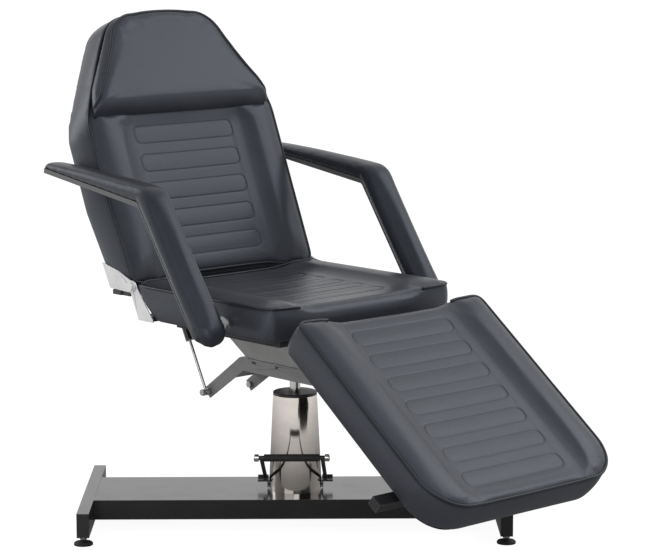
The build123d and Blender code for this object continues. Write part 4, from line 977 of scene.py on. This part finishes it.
# %% Floor
FLOOR_REACH = 60.0
FLOOR_TONE = (0.72, 0.72, 0.72, 1)
NEAR_CHAIR, FAR_FROM_CHAIR = 0.8, 2.4
CAMERA_GLOW, GLOW_SHARE = 1.18, 0.8

shape = bmesh.new()
bmesh.ops.create_grid(shape, x_segments=4, y_segments=4, size=FLOOR_REACH)
floor_mesh = bpy.data.meshes.new("studio_floor")
shape.to_mesh(floor_mesh)
shape.free()
studio_floor = bpy.data.objects.new("studio_floor", floor_mesh)
scene.collection.objects.link(studio_floor)
floor_paint, tree, surface = shell("pale_studio_floor")
surface.inputs["Base Color"].default_value = FLOOR_TONE
surface.inputs["Roughness"].default_value = 0.9
surface.inputs["Specular IOR Level"].default_value = 0.0
path = put(tree, "LightPath").outputs
seen = math_node(tree, "ADD", path["Is Camera Ray"], path["Is Glossy Ray"])
seen = math_node(tree, "ADD", seen, path["Is Transmission Ray"], True)
reach = put(tree, "VectorMath", {"operation": "LENGTH"}, i0=object_point(tree)).outputs["Value"]
# Painted shadow: mirror rays see the floor glow dimmer near the chair.
mirror_glow_painted_shadow = remap(tree, reach, NEAR_CHAIR, FAR_FROM_CHAIR, 0.1, 1.1)
glow_level = pick(tree, path["Is Camera Ray"], mirror_glow_painted_shadow, CAMERA_GLOW)
glow = put(tree, "Emission", Color=WHITE, Strength=glow_level).outputs[0]
share = math_node(tree, "MULTIPLY", seen, GLOW_SHARE)
both = put(tree, "MixShader", i0=share, i1=surface.outputs[0], i2=glow)
tree.links.new(both.outputs[0], tree.nodes["Material Output"].inputs["Surface"])
floor_mesh.materials.append(floor_paint)

# %% Backdrop and lamps
WALL_SIDE = (-0.45, 0.65, 0.45)
BRIGHT_SKY = (0.1, 0.4, 0.9)

world = bpy.data.worlds.new("studio")
scene.world = world
world.use_nodes = True
sky = world.node_tree
path = put(sky, "LightPath").outputs
mirrored = math_node(sky, "ADD", path["Is Glossy Ray"], path["Is Transmission Ray"], True)
look = put(sky, "TexCoord").outputs["Generated"]
wall = remap(sky, dot(sky, look, WALL_SIDE), -0.85, 0.85, 0.12, 0.95)
plain = remap(sky, dot(sky, look, BRIGHT_SKY), -0.8, 0.9, 0.4, 0.95)
level = pick(sky, path["Is Camera Ray"], pick(sky, mirrored, plain, wall), 1.0)
sky.links.new(level, sky.nodes["Background"].inputs["Strength"])
sky.nodes["Background"].inputs["Color"].default_value = WHITE


def soft_lamp(name, place, target, width, height, power):
    lamp = bpy.data.lights.new(name, "AREA")
    lamp.shape, lamp.size, lamp.size_y, lamp.energy = "RECTANGLE", width, height, power
    holder = bpy.data.objects.new(name, lamp)
    holder.location = place
    holder.rotation_euler = (Vector(target) - Vector(place)).to_track_quat("-Z", "Y").to_euler()
    scene.collection.objects.link(holder)


soft_lamp("key_lamp", (1.6, 2.4, 3.0), (0, 0, 0.6), 2.6, 2.0, 36)
soft_lamp("rim_lamp", (-3.0, -1.6, 1.9), (0, 0, 0.7), 1.2, 2.2, 28)
soft_lamp("front_lamp", (3.2, -2.5, 2.2), (0.2, 0, 0.5), 1.8, 1.6, 28)
soft_lamp("side_lamp", (1.2, -3.5, 1.3), (0.1, 0, 0.5), 2.6, 2.0, 24)
print("lamps set")
